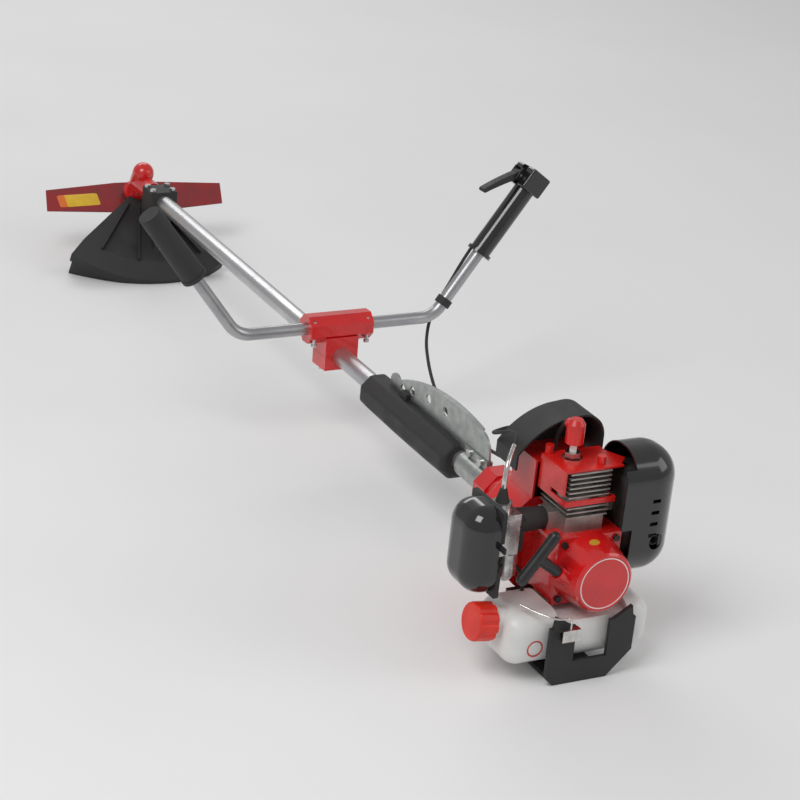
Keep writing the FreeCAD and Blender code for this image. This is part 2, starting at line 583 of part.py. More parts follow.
# ---------------------------------------------------------------- flywheel, fan housing and clutch
flywheel = doc.addObject("PartDesign::Body", "Flywheel")
disc_sketch = flywheel.newObject("Sketcher::SketchObject", "DiscSketch")
disc_sketch.AttachmentSupport = [(origin_plane(flywheel, "XZ_Plane"), "")]
disc_sketch.MapMode = "FlatFace"
for index, (radius, alias) in enumerate(((d.flywheel_r, "flywheel_r"), (d.crank_r, "crank_r"))):
    disc_sketch.addGeometry(Part.Circle(Vector(), Vector(0, 0, 1), radius))
    disc_sketch.addConstraint(Sketcher.Constraint("Coincident", index, 3, -1, 1))
    spot = disc_sketch.addConstraint(Sketcher.Constraint("Radius", index, radius))
    disc_sketch.setExpression(f"Constraints[{spot}]", sheet_expression(alias))
disc = flywheel.newObject("PartDesign::Pad", "Disc")
disc.Profile = disc_sketch
disc.Reversed = True
bind(disc, Length="flywheel_thick")
vane_sketch = polygon_sketch(flywheel, "XZ_Plane", [
    ("vane_inner", "-vane_thick / 2"), ("vane_r", "-vane_thick / 2 + 8"),
    ("vane_r", "vane_thick / 2 + 8"), ("vane_inner", "vane_thick / 2")])
vane = flywheel.newObject("PartDesign::Pad", "Vane")
vane.Profile = vane_sketch
vane.Reversed = True
bind(vane, Length="flywheel_thick + vane_height")
doc.recompute()
vanes = flywheel.newObject("PartDesign::PolarPattern", "Vanes")
vanes.Originals = [vane]
vanes.Axis = (vane_sketch, ["N_Axis"])
bind(vanes, Occurrences="vane_count")
flywheel.Tip = vanes
machine_part("flywheel", flywheel)
bind(flywheel, y="starter_face + flywheel_rear")

fan_outer = fuse(
    rod("Y", "fan_r", "fan_front - fan_rear", y="fan_rear"),
    box(("-duct_half", "duct_half"), ("fan_rear", "duct_front"), ("0", "duct_top")))
fan_inner = [
    rod("Y", "fan_r - fan_wall", "fan_front - fan_rear", y="fan_rear + fan_wall"),
    box(("-duct_half + fan_wall", "duct_half - fan_wall"), ("fan_rear - 1", "duct_front - fan_wall"),
        ("deck_z + 22", "duct_top - fan_wall")),
    rod("Y", "case_passage_r", "10", y="fan_rear - 1"),
    rod("Z", "lead_r + 1.5", "fan_wall + 2", "plug_x", "coil_rear + 2 * coil_width", "duct_top - fan_wall - 1")]
machine_part("fan_housing", cut(fan_outer, *fan_inner))

shoe_ring = tube("Y", "shoe_r", "shoe_inner_r", "shoe_width", y="shoe_rear")
machine_part("clutch_shoes", cut(shoe_ring, box(
    ("-shoe_gap / 2", "shoe_gap / 2"), ("shoe_rear - 1", "shoe_rear + shoe_width + 1"),
    ("-shoe_r - 1", "shoe_r + 1"))))
drum_web = "drum_rear + drum_depth"
machine_part("clutch_drum", revolved([
    ("0", drum_web), ("drum_r - drum_wall", drum_web), ("drum_r - drum_wall", "drum_rear"),
    ("drum_r", "drum_rear"), ("drum_r", f"{drum_web} + drum_wall"),
    ("drum_boss_r", f"{drum_web} + drum_wall"), ("drum_boss_r", "drum_boss_end"),
    ("drive_r", "drum_boss_end"), ("drive_r", "drum_boss_end - socket_depth"),
    ("0", "drum_boss_end - socket_depth")]))
drum_bearings = [
    tube("Y", "drum_bearing_r", "drum_boss_r + run_gap", "drum_bearing_width",
         y=f"drum_bearing_at + {i} * (drum_bearing_width + 1)") for i in range(2)]

housing = revolved([
    ("0", "fan_front"), ("fan_r", "fan_front"), ("fan_r - 3", "fan_front + 5"),
    ("cone_r", "cone_shoulder + 6"), ("neck_r", "neck_start"), ("neck_r", "collar_end"), ("0", "collar_end")])
collar = prism(8, "Y", "collar_r", "collar_end - collar_start", y="collar_start", twist=22.5)
bearing_end = "drum_bearing_at + 2 * drum_bearing_width + 1"
housing_cuts = [
    rod("Y", "drum_room_r", "9", y="fan_front - 1"),
    rod("Y", "drum_bearing_r", f"{bearing_end} - fan_front", y="fan_front"),
    rod("Y", "drum_boss_r + 2", "collar_end - fan_front", y="fan_front"),
    rod("Y", "tube_r", "collar_end - tube_start + 1", y="tube_start"),
    rod("X", "pinch_r", "2 * collar_r + 4", "-2 * collar_r - 2", "pinch_y", "0"),
    box(("-pinch_slot / 2", "pinch_slot / 2"), ("collar_start", "collar_end + 1"), ("-collar_r - 1", "0"))]
machine_part("clutch_housing", cut(fuse(housing, collar), *housing_cuts))
pinch_screw = rod("X", "pinch_r", "14", "-tube_r - 15", "pinch_y", "0")

hood_outline = outline_face(
    Vector(d.hood_left, 0, d.hood_base), (Vector(d.hood_left, 0, d.hood_left_z),),
    (Vector(d.hood_shoulder_x, 0, d.hood_shoulder_z), Vector(d.hood_peak_x - 20, 0, d.hood_peak - 2)),
    (Vector(d.hood_peak_x, 0, d.hood_peak),),
    (Vector(d.hood_fall_x, 0, d.hood_fall_z), Vector(d.hood_right, 0, d.hood_right_z)),
    (Vector(d.hood_right, 0, d.hood_base),))
hood = hood_outline.extrude(Vector(0, d.hood_front - d.hood_rear, 0))
hood_room = hood_outline.copy()
hood_room.scale(1 - 2 * d.wall / (d.hood_right - d.hood_left), Vector(0, 0, d.hood_base))
hood_room = hood_room.extrude(Vector(0, d.hood_front - d.hood_rear - d.wall, 0))
hood_room = hood_room.fuse(Part.makeBox(
    2 * d.duct_half + 2 * d.part_gap, d.duct_front - d.hood_rear + d.part_gap,
    d.duct_top - d.hood_base + d.part_gap, Vector(-d.duct_half - d.part_gap, 0, d.hood_base)))
hood = hood.cut(hood_room)
hood.translate(Vector(0, d.hood_rear, 0))
machine_part("top_hood", solid(hood))

# ---------------------------------------------------------------- intake side
machine_part("intake_insulator", cut(
    fuse(cone("X", "insulator_r", "insulator_r - 3", "-insulator_end - intake_face", "insulator_end",
              "cylinder_y", "deck_z + port_half"),
         box(("insulator_end", "insulator_end + 6"), ("carb_rear", "carb_rear + carb_depth"),
             ("carb_base + 4", "carb_base + carb_height - 6"))),
    rod("X", "throat_r - 2", "-insulator_end", "insulator_end - 1", "cylinder_y", "deck_z + port_half"),
    box(("-deck_half - 1", "0"), ("case_rear", "case_front"), ("0", "deck_z + part_gap"))))
carb_mid_x = "(carb_left + insulator_end) / 2"
carb_mid_y = "carb_rear + carb_depth / 2"
carb_top = "carb_base + carb_height"
carburettor = cut(
    fuse(box(("carb_left", "insulator_end"), ("carb_rear", "carb_rear + carb_depth"), ("carb_base", carb_top)),
         rod("Z", "slide_cap_r", "slide_cap_height", carb_mid_x, carb_mid_y, carb_top),
         rod("Z", "bulb_ring_r", "carb_base - bulb_z", "bulb_x", "bulb_y", "bulb_z")),
    rod("Z", "bulb_r + run_gap", "bulb_ring_height", "bulb_x", "bulb_y", "bulb_z"),
    rod("X", "throat_r", "insulator_end - carb_left + 2", "carb_left - 1", "cylinder_y", "deck_z + port_half"))
machine_part("carburettor", carburettor)
boot_z = "carb_base + carb_height + slide_cap_height"
cable_boot = cut(
    cone("Z", "boot_base_r", "boot_tip_r", "boot_height", carb_mid_x, carb_mid_y, boot_z),
    rod("Z", "guide_tube_r", "boot_height + 2", carb_mid_x, carb_mid_y, f"{boot_z} - 1"))
carb_axis = Vector((d.carb_left + d.insulator_end) / 2, d.carb_rear + d.carb_depth / 2, 0)
tube_foot = carb_axis + Vector(0, 0, d.carb_base + d.carb_height + d.slide_cap_height)
guide_bend = tube_foot + Vector(6, 7, 50)
guide_end = tube_foot + Vector(24, 26, 62)
guide_way = (guide_end - guide_bend).normalize()
machine_part("cable_guide_tube", swept_tube("cable_guide_tube", [
    tube_foot, tube_foot + Vector(0, 0, 32), guide_bend, guide_end], d.guide_tube_r))
choke_y = "carb_rear + 2"
choke_z = "carb_base + choke_rise"
machine_part("choke_lever", fuse(
    rod("X", "choke_r", "filter_plate - part_gap", "carb_left - filter_plate + part_gap", choke_y, choke_z),
    box(("carb_left - filter_plate + part_gap", "carb_left - filter_plate / 2"),
        (f"{choke_y} - choke_length", choke_y), (f"{choke_z} - choke_r", f"{choke_z} + choke_r"))))
machine_part("primer_bulb", fuse(
    rod("Z", "bulb_r", "bulb_flange", "bulb_x", "bulb_y", "bulb_z"),
    cut(ball("bulb_r", "bulb_x", "bulb_y", "bulb_z"),
        rod("Z", "bulb_r + 1", "bulb_r + 1", "bulb_x", "bulb_y", "bulb_z"))))

filter_low = Vector(d.filter_left, d.filter_rear, d.filter_base_z)
filter_high = Vector(d.carb_left - d.filter_plate, d.filter_rear + d.filter_depth,
                     d.filter_base_z + d.filter_height)


def shield(low, high, radius):
    """A domed box that is open towards +X: rounded on its outer corners only."""
    block = rounded_box(low, high + Vector(2 * radius, 0, 0), radius)
    keep = Part.makeBox(high.x - low.x, high.y - low.y, high.z - low.z, low)
    return block.common(keep)


inset = Vector(d.wall, d.wall, d.wall)
filter_room = shield(filter_low + inset, filter_high + Vector(1, -d.wall, -d.wall), d.filter_round - d.wall)
machine_part("air_cleaner_cover", solid(
    shield(filter_low, filter_high, d.filter_round).cut(filter_room)))
plate_low = Vector(filter_high.x, filter_low.y, filter_low.z)
plate_high = Vector(d.carb_left, filter_high.y, filter_high.z)
throat = Part.makeCylinder(d.throat_r, 2 * d.filter_plate, Vector(filter_high.x - d.filter_plate, d.cylinder_y,
                           d.deck_z + d.port_half), Vector(1, 0, 0))
choke_room = Part.makeBox(d.filter_plate, 2 * d.choke_length, d.choke_drop + d.choke_r + 1, Vector(
    d.carb_left - d.filter_plate, d.carb_rear + 2 + d.choke_r + 1 - 2 * d.choke_length,
    d.carb_base + d.choke_rise - d.choke_drop))
machine_part("air_filter_plate", solid(
    rounded_box(plate_low, plate_high, d.filter_round, "X").cut(throat).cut(choke_room)))
foam_low = filter_low + inset * 2
foam_high = filter_high - Vector(0, 2 * d.wall, 2 * d.wall)
machine_part("air_filter_foam", solid(shield(foam_low, foam_high, d.filter_round - 2 * d.wall).cut(
    Part.makeCylinder(d.throat_r + 8, 20, Vector(foam_high.x - 10, d.cylinder_y, d.deck_z + d.port_half),
                      Vector(1, 0, 0)))))

# ---------------------------------------------------------------- exhaust side
muffler_low = Vector(d.muffler_left, d.muffler_rear, d.muffler_base)
muffler_high = Vector(d.muffler_right, d.muffler_front, d.muffler_base + d.muffler_height)
thin = Vector(d.muffler_wall, d.muffler_wall, d.muffler_wall)
inlet = Part.makeCylinder(d.port_half - 4, 2 * d.muffler_round, Vector(
    d.muffler_left - 1, d.cylinder_y, d.exhaust_z), Vector(1, 0, 0))
outlet_at = Vector(d.muffler_right - 18, d.muffler_rear + 8, d.muffler_base + 22)
outlet = Part.makeCylinder(d.outlet_r, 18, outlet_at, Vector(0, -1, 0))
outlet_bore = Part.makeCylinder(d.outlet_r - d.muffler_wall, 30, outlet_at + Vector(0, 10, 0), Vector(0, -1, 0))
muffler = rounded_box(muffler_low, muffler_high, d.muffler_round).fuse(outlet)
muffler = muffler.cut(rounded_box(muffler_low + thin, muffler_high - thin, d.muffler_round - d.muffler_wall))
machine_part("muffler", solid(muffler.cut(inlet).cut(outlet_bore)))

cover_low = Vector(d.muff_cover_left, d.muff_cover_rear, d.muff_cover_base)
cover_high = Vector(d.muff_cover_right, d.muff_cover_front, d.muff_cover_base + d.muff_cover_height)


def side_hood(low, high, radius):
    """A domed box that is open towards -X."""
    block = rounded_box(low - Vector(2 * radius, 0, 0), high, radius)
    return block.common(Part.makeBox(high.x - low.x, high.y - low.y, high.z - low.z, low))


inset = Vector(d.muff_cover_wall, d.muff_cover_wall, d.muff_cover_wall)
hood_shape = side_hood(cover_low, cover_high, d.muff_cover_round).cut(
    side_hood(cover_low + Vector(-1, inset.y, inset.z), cover_high - inset,
              d.muff_cover_round - d.muff_cover_wall))
step_depth = d.muff_cover_step - d.muff_cover_left
cover_depth_y = cover_high.y - cover_low.y
hood_shape = hood_shape.cut(Part.makeBox(
    step_depth, cover_depth_y, d.muff_cover_sill - cover_low.z, cover_low))
hood_shape = hood_shape.cut(Part.makeBox(
    step_depth, cover_depth_y, cover_high.z - cover_low.z, cover_low + Vector(0, 3 * d.muff_cover_wall, 0)))
for i in range(4):
    slot_z = d.muff_cover_base + 0.62 * d.muff_cover_height - i * d.slot_pitch
    hood_shape = hood_shape.cut(Part.makeBox(
        d.slot_length, 3 * d.muff_cover_wall, d.slot_width,
        Vector(d.muff_cover_right - d.muff_cover_round - 6, d.muff_cover_rear - d.muff_cover_wall, slot_z)))
hood_shape = hood_shape.cut(Part.makeCylinder(
    d.outlet_r + 4, 3 * d.muff_cover_wall, Vector(outlet_at.x, d.muff_cover_rear - d.muff_cover_wall, outlet_at.z),
    Vector(0, 1, 0)))
machine_part("muffler_cover", solid(hood_shape))

# ---------------------------------------------------------------- fuel tank and stand
tank_low = Vector(d.tank_left, d.tank_rear, d.tank_base)
tank_high = Vector(d.tank_right, d.tank_front, d.tank_base + d.tank_height)
skin = Vector(d.tank_wall, d.tank_wall, d.tank_wall)
neck_at = Vector(d.tank_left, d.neck_y, d.neck_z)
lean = math.radians(d.cap_lean)
neck_way = Vector(-math.cos(lean), 0, math.sin(lean))
neck = Part.makeCylinder(d.neck_outer_r, d.neck_length + 24, neck_at - neck_way * 24, neck_way)
neck_bore = Part.makeCylinder(d.neck_bore_r, d.neck_length + 60, neck_at - neck_way * 40, neck_way)



def saddle(extra):
    """The hollow in the tank's top that the crankcase and the starter sit in."""
    half = d.case_half + d.saddle_gap + extra
    return Part.makeBox(2 * half, 2 * d.tank_front, d.tank_height, Vector(
        -half, -d.tank_front / 2, d.saddle_top - extra))


tank = rounded_box(tank_low, tank_high, d.tank_round).fuse(neck).cut(saddle(0))
tank_room = rounded_box(tank_low + skin, tank_high - skin, d.tank_round - d.tank_wall).cut(saddle(d.tank_wall))
tank = tank.cut(tank_room).cut(neck_bore)
machine_part("fuel_tank", solid(tank))

# The cap is drawn along +Z with its closed end at the top, then turned to lie along the neck.
flutes = [Part.makeCylinder(d.cap_flute_r, d.fuel_cap_thick, Vector(
    (d.fuel_cap_r + d.cap_flute_r - 1.6) * math.cos(2 * math.pi * i / d.cap_flutes),
    (d.fuel_cap_r + d.cap_flute_r - 1.6) * math.sin(2 * math.pi * i / d.cap_flutes), -1))
    for i in range(int(d.cap_flutes))]
cap = Part.makeCylinder(d.fuel_cap_r, d.fuel_cap_thick)
top_edges = [edge for edge in cap.Edges if edge.CenterOfMass.z > d.fuel_cap_thick - 0.1]
cap = cap.makeFillet(4, top_edges)
cap = cap.cut(Part.makeCylinder(d.neck_outer_r + d.part_gap, d.cap_skirt))
cap = cap.fuse(Part.makeCylinder(d.neck_bore_r - d.part_gap, d.cap_skirt + 1))
cap = cap.cut(Part.makeCompound(flutes))
cap_place = Placement(neck_at + neck_way * (d.neck_length - d.cap_skirt + d.part_gap),
                      Rotation(Vector(0, 0, 1), neck_way))
cap = cap.transformed(cap_place.toMatrix(), True)
machine_part("fuel_cap", solid(cap))

stand_left, stand_right = "stand_mid - stand_half", "stand_mid + stand_half"
band_z = "band_rise - axis_height"


def stand_plate(rear_face):
    """An upright plate of the stand: a low band, two uprights and a bevelled right foot."""
    plate = padded([
        (f"{stand_left} + foot_bevel / 3", "-axis_height"), (f"{stand_right} - foot_bevel", "-axis_height"),
        (stand_right, "foot_bevel - axis_height"), (stand_right, "upright_top"),
        (f"{stand_right} - upright_width", "upright_top"), (f"{stand_right} - upright_width", band_z),
        (f"{stand_left} + upright_width", band_z), (f"{stand_left} + upright_width", "upright_top"),
        (stand_left, "upright_top"), (stand_left, "foot_bevel / 3 - axis_height")],
        "stand_wall", plane="XZ_Plane")
    return bind(plate, y=f"{rear_face} + stand_wall")


foot_y = ("stand_front - foot_back - 4", "stand_front")
foot_z = ("-axis_height", "foot_height - axis_height")
pieces = [
    stand_plate("stand_rear"), stand_plate("tank_front + 1"),
    box((f"{stand_left} + foot_bevel / 3", f"{stand_right} - foot_bevel"),
        ("stand_rear", "stand_front - foot_back"), ("-axis_height", "stand_floor - axis_height")),
    box((f"{stand_left} - foot_spread", f"{stand_left} + foot_width"), foot_y, foot_z),
    box((f"{stand_right} - foot_width", f"{stand_right} + foot_spread"), foot_y, foot_z)]
hooks = []
for middle, way in ((d.stand_mid - d.stand_half + d.upright_width / 2, -1),
                    (d.stand_mid + d.stand_half - d.upright_width / 2, 1)):
    hook_half = d.upright_width / 2 - 4
    face = outline_face(
        Vector(middle - hook_half, 0, d.upright_top), (Vector(middle + hook_half, 0, d.upright_top),),
        (Vector(middle + way * d.hook_reach, 0, d.upright_top + d.hook_rise),))
    hook = face.extrude(Vector(0, d.stand_wall, 0))
    hook.translate(Vector(0, d.stand_rear, 0))
    hooks.append(solid(hook))
machine_part("tank_stand", fuse(*pieces, *hooks))

machine_part("fuel_hose", swept_tube("fuel_hose", [
    Vector(-66, 84, d.tank_base + d.tank_height), Vector(-66, 86, d.tank_base + d.tank_height + 20),
    Vector(-74, 100, d.tank_base + d.tank_height + 34), Vector(-96, 110, d.carb_base - 22),
    Vector(-112, 106, d.carb_base - 12), Vector(-112, 106, d.carb_base)], d.hose_r, d.hose_bore_r))
clip_wire = swept_tube("clip_wire", [
    Vector(-98, 34, -32), Vector(-86, 12, -34), Vector(-70, -7, -36), Vector(-47, -8.5, -38),
    Vector(-47, -8.5, d.upright_top)], 1.4)
clip_y = ("stand_rear - clip_depth", "stand_rear")
clip_z = ("upright_top - clip_height", "upright_top")
tank_clip = cut(
    box(("-clip_out", "-clip_in"), clip_y, clip_z),
    box(("-clip_out - 1", "-clip_in - 3"), ("stand_rear - clip_depth + 2", "stand_rear - 2"),
        ("upright_top - clip_height + 3", "upright_top - 3")))
machine_part("tank_clip", tank_clip, clip_wire)

# ---------------------------------------------------------------- shaft
machine_part("shaft_tube", tube("Y", "tube_r", "tube_r - tube_wall", "tube_end - tube_start", y="tube_start"))
machine_part("drive_shaft", rod("Y", "drive_r", "drive_end - drive_start", y="drive_start"))
machine_part("shaft_bushes", group(*[
    tube("Y", "tube_r - tube_wall", "drive_r + run_gap", "bush_length",
         y=f"first_bush + {i} * (last_bush - first_bush) / (bush_count - 1)")
    for i in range(int(d.bush_count))]))

# ---------------------------------------------------------------- hanger and hip pad
def hanger_points():
    """The plate's corners and arc middles in (y, z), from its rear foot round its outer edge."""
    foot_z = d.tube_r + 5
    front = d.hanger_end
    return [Vector(0, y, z) for y, z in (
        (d.hanger_start, foot_z), (d.hanger_start + 2, 42), (d.hanger_start + 10, 58),
        (d.hanger_start + 34, d.hanger_top - 4), (455, d.hanger_top), (front - 26, 40),
        (front, 26), (front - 22, d.hanger_toe_z), (480, 27), (d.hanger_clamp_end + 12, foot_z))]


foot, heel, heel_arc, crest_start, crest, crest_end, toe_arc, toe, belly, belly_end = hanger_points()
hanger = outline_face(
    foot, (heel,), (heel_arc, crest_start), (crest, crest_end), (toe_arc, toe), (belly, belly_end)).extrude(
        Vector(d.hanger_thick, 0, 0))


def offset_arc(points, shift):
    """The same arc, moved away from its centre."""
    centre = Part.Arc(*points).toShape().Curve.Center
    return [point + (point - centre).normalize() * shift for point in points]


inner_start, inner_middle, inner_end = offset_arc([crest_start, crest, crest_end], -d.hanger_rim_thick)
rim_face = outline_face(crest_start, (crest, crest_end), (inner_end,), (inner_middle, inner_start))
hanger = hanger.fuse(rim_face.extrude(Vector(d.hanger_rim, 0, 0))).removeSplitter()
HARNESS_HOLES = ((558, 30), (530, 39), (482, 47), (432, 49))
BOLT_SHARES = (0.25, 0.75)
clamp_run = d.hanger_clamp_end - d.hanger_start
hole_list = [(y, z, d.hanger_hole_r) for y, z in HARNESS_HOLES] + [(581, 24, d.hanger_small_r)]
hole_list += [(d.hanger_start + share * clamp_run, d.tube_r + d.bolt_rise, d.hanger_bolt_r) for share in BOLT_SHARES]
for y, z, radius in hole_list:
    hanger = hanger.cut(Part.makeCylinder(radius, d.hanger_rim + 2, Vector(-1, y, z), Vector(1, 0, 0)))
hanger.translate(Vector(-d.hanger_thick / 2, 0, 0))
machine_part("hanger_plate", solid(hanger))

clamp_y = ("hanger_start", "hanger_clamp_end")
bolt_spots = [f"hanger_start + {share} * (hanger_clamp_end - hanger_start)" for share in BOLT_SHARES]
bolt_z = "tube_r + bolt_rise"
machine_part("hanger_clamp", cut(
    fuse(rod("Y", "hanger_clamp_r", "hanger_clamp_end - hanger_start", y="hanger_start"),
         box(("-hanger_thick / 2 - lug_thick", "hanger_thick / 2 + lug_thick"), clamp_y, ("0", "lug_height"))),
    rod("Y", "tube_r", "hanger_clamp_end - hanger_start + 2", y="hanger_start - 1"),
    box(("-hanger_thick / 2", "hanger_thick / 2"), ("hanger_start - 1", "hanger_clamp_end + 1"),
        ("0", "lug_height + 1")),
    *[rod("X", "hanger_bolt_r", "20", "-10", y, bolt_z) for y in bolt_spots]))
hanger_bolts = [
    fuse(rod("X", "hanger_bolt_r", "hanger_bolt_length / 2", "-hanger_bolt_length / 4", y, bolt_z),
         rod("X", "hanger_bolt_r + 2.5", "4", "-hanger_thick / 2 - lug_thick - 4", y, bolt_z),
         rod("X", "hanger_bolt_r + 2.5", "4", "hanger_thick / 2 + lug_thick", y, bolt_z))
    for y in bolt_spots]

pad_block = prism(8, "Y", "pad_r", "pad_end - pad_start", "pad_x", "pad_start", "pad_z", twist=22.5)
machine_part("hip_pad", cut(
    pad_block, rod("Y", "tube_r", "pad_end - pad_start + 2", y="pad_start - 1"),
    box(("-hanger_thick / 2 - part_gap", "hanger_thick / 2 + part_gap"), ("pad_start - 1", "hanger_end + 12"),
        ("tube_r + 1", "pad_r"))))
pad_top = "pad_z + pad_r * cos(22.5)"
pad_bracket = cut(
    fuse(box(("-9", "-hanger_thick / 2"), ("pad_bracket_y - 10", "pad_bracket_y + 10"), (pad_top, "pad_bracket_top")),
         box(("hanger_thick / 2", "9"), ("pad_bracket_y - 10", "pad_bracket_y + 10"), (pad_top, "pad_bracket_top"))),
    *[rod("X", "hanger_hole_r + 1", "40", "-20", str(y), str(z)) for y, z in HARNESS_HOLES[:2]])

# ---------------------------------------------------------------- handlebar
# Bar frame: X along the bar, origin in the middle of the clamp on the bar's axis.
clamp_outer = prism(8, "X", "clamp_depth / 2 / cos(22.5)", "2 * clamp_half", "-clamp_half", twist=22.5)
half_up = box(("-clamp_half", "clamp_half"), ("-clamp_depth", "clamp_depth"), ("0", "clamp_depth"))
upper = doc.addObject("Part::Common", "UpperHalf")
upper.Base = clamp_outer
upper.Tool = half_up
bar_hole = rod("X", "bar_r", "2 * clamp_half + 2", "-clamp_half - 1")
clamp_screw_spots = [(f"{sx}(clamp_half - 8)", f"{sy}(bar_r + 5)") for sx in ("-", "") for sy in ("-", "")]
clamp_screw_holes = [rod("Z", "screw_r", "60", x, y, "-30") for x, y in clamp_screw_spots]
handle_clamp_cap = cut(upper, bar_hole, *clamp_screw_holes)
lower_outer = prism(8, "X", "clamp_depth / 2 / cos(22.5)", "2 * clamp_half", "-clamp_half", twist=22.5)
half_down = box(("-clamp_half", "clamp_half"), ("-clamp_depth", "clamp_depth"), ("-clamp_depth", "0"))
lower = doc.addObject("Part::Common", "LowerHalf")
lower.Base = lower_outer
lower.Tool = half_down
saddle = box(("-saddle_half", "saddle_half"), ("-saddle_length / 2", "saddle_length / 2"),
             ("-bar_z", "-bar_r - 2"))
tube_hole = turned(group(rod("Y", "tube_r", "200", y="-100")), (1, 0, 0), "arm_lean")
bind(tube_hole, y="bar_z * sin(arm_lean)", z="-bar_z * cos(arm_lean)")
saddle_holes = [rod("Z", "screw_r", "30", x, y, "-bar_z - 4") for x, y in (
    ("-saddle_half + 5", "0"), ("saddle_half - 5", "0"))]
bar_part("handle_clamp_base", cut(fuse(lower, saddle), bar_hole, tube_hole, *clamp_screw_holes, *saddle_holes))
cap_block = box(("-saddle_half", "saddle_half"), ("-saddle_length / 2", "saddle_length / 2"),
                ("-bar_z - tube_r - saddle_shell", "-bar_z - part_gap"))
tube_clamp_cap = cut(
    cap_block, tube_hole, *[rod("Z", "screw_r", "60", x, y, "-bar_z - 50") for x, y in (
        ("-saddle_half + 5", "0"), ("saddle_half - 5", "0"))])
bar_part("handle_clamp_caps", handle_clamp_cap, tube_clamp_cap)
clamp_screws = [
    fuse(rod("Z", "screw_r", "clamp_depth - 6", x, y, "-clamp_depth / 2"),
         rod("Z", "screw_head_r", "screw_head", x, y, "-clamp_depth / 2 - screw_head"))
    for x, y in clamp_screw_spots]
clamp_screws += [
    fuse(rod("Z", "screw_r", "saddle_shell + tube_r + 20", x, "0", "-bar_z - tube_r - saddle_shell"),
         rod("Z", "screw_head_r", "screw_head", x, "0", "-bar_z - tube_r - saddle_shell - screw_head"))
    for x in ("-saddle_half + 5", "saddle_half - 5")]


def bent_bar(side, radius):
    """Half a handlebar: a run along the bar axis, a tangent bend and a rising arm."""
    rise = math.radians(d.arm_rise)
    tangent = d.bend_r * math.tan(rise / 2)
    start = Vector(side * d.bar_join / 2, 0, 0)
    corner = Vector(side * d.bar_corner, 0, 0)
    arm = Vector(side * math.cos(rise), 0, math.sin(rise))
    bend_start = corner - Vector(side * tangent, 0, 0)
    bend_end = corner + arm * tangent
    centre = bend_start + Vector(0, 0, d.bend_r)
    middle = centre + (corner - centre).normalize() * d.bend_r
    path = Part.Wire([
        Part.LineSegment(start, bend_start).toShape(), Part.Arc(bend_start, middle, bend_end).toShape(),
        Part.LineSegment(bend_end, corner + arm * d.arm_length).toShape()])
    ring = Part.Wire(Part.makeCircle(radius, start, Vector(side, 0, 0)))
    return path.makePipeShell([ring], True, False)


def along_arm(side, distance):
    rise = math.radians(d.arm_rise)
    return Vector(side * (d.bar_corner + distance * math.cos(rise)), 0, distance * math.sin(rise))


def arm_direction(side):
    return along_arm(side, 1) - along_arm(side, 0)


for side, label in ((-1, "left_handlebar"), (1, "right_handlebar")):
    bar_part(label, solid(bent_bar(side, d.bar_r).cut(bent_bar(side, d.bar_r - d.bar_wall))))


def arm_cylinder(side, radius, start, length, end_radius=0):
    """A cylinder or cone round an arm, from a distance along it."""
    at, way = along_arm(side, start), arm_direction(side)
    if end_radius:
        return Part.makeCone(radius, end_radius, length, at, way)
    return Part.makeCylinder(radius, length, at, way)


grip_start = d.arm_length - d.grip_length
left_grip = arm_cylinder(-1, d.left_grip_r, grip_start, d.grip_length + 4, d.left_grip_r - 2)
left_grip = left_grip.fuse(arm_cylinder(-1, d.grip_collar_r, grip_start, d.grip_collar))
bar_part("left_grip", solid(left_grip.cut(arm_cylinder(-1, d.bar_r, grip_start - 1, d.grip_length + 1))))
right_grip = arm_cylinder(1, d.right_grip_r, grip_start, d.grip_length)
right_grip = right_grip.fuse(arm_cylinder(1, d.grip_collar_r, grip_start, d.grip_collar))
bar_part("right_grip", solid(right_grip.cut(arm_cylinder(1, d.bar_r, grip_start - 1, d.grip_length + 2))))
cable_band = solid(arm_cylinder(1, d.band_r, d.band_at, d.band_length).cut(
    arm_cylinder(1, d.bar_r, d.band_at - 1, d.band_length + 2)))
subpart("plastic_clips", on_bar(cable_band), machine(pad_bracket))

# Throttle frame: +Z out along the right arm, +X inward towards the operator's left.
throttle_at = Placement(along_arm(1, d.arm_length), Rotation(
    Vector(-math.sin(math.radians(d.arm_rise)), 0, math.cos(math.radians(d.arm_rise))),
    Vector(0, 1, 0), arm_direction(1), "ZXY"))


def in_throttle_frame(shape):
    return shape.transformed(throttle_at.toMatrix(), True)


half_depth = d.box_depth / 2
throttle_box = Part.makeBox(d.box_height + 8, d.box_depth, d.box_length, Vector(
    -d.box_height / 2, -half_depth, d.box_gap))
throttle_box = throttle_box.makeFillet(3, throttle_box.Edges)
hinge_at = Vector(d.trigger_out, 0, d.trigger_along - 8)
fork = Part.makeBox(18, d.trigger_width + 8, 20, Vector(d.trigger_out - 12, -d.trigger_width / 2 - 4, hinge_at.z - 9))
trigger_room = Part.makeBox(40, d.trigger_width + 2 * d.part_gap, 60, Vector(
    d.trigger_out - 10, -d.trigger_width / 2 - d.part_gap, hinge_at.z - 40))
pin_bore = Part.makeCylinder(d.trigger_pin_r, d.box_depth, Vector(hinge_at.x, -half_depth, hinge_at.z), Vector(0, 1, 0))
bar_part("throttle_housing", solid(in_throttle_frame(
    throttle_box.fuse(fork).cut(trigger_room).cut(pin_bore))))
trigger_pin = solid(in_throttle_frame(Part.makeCylinder(
    d.trigger_pin_r, d.trigger_width + 8, Vector(hinge_at.x, -d.trigger_width / 2 - 4, hinge_at.z), Vector(0, 1, 0))))
swing = math.radians(d.trigger_open)
lever_way = Vector(math.sin(swing), 0, -math.cos(swing))
lever_side = Vector(lever_way.z, 0, -lever_way.x)
hub = Part.makeCylinder(d.trigger_hub_r, d.trigger_width, hinge_at - Vector(0, d.trigger_width / 2, 0), Vector(0, 1, 0))
root, end = hinge_at, hinge_at + lever_way * d.trigger_length
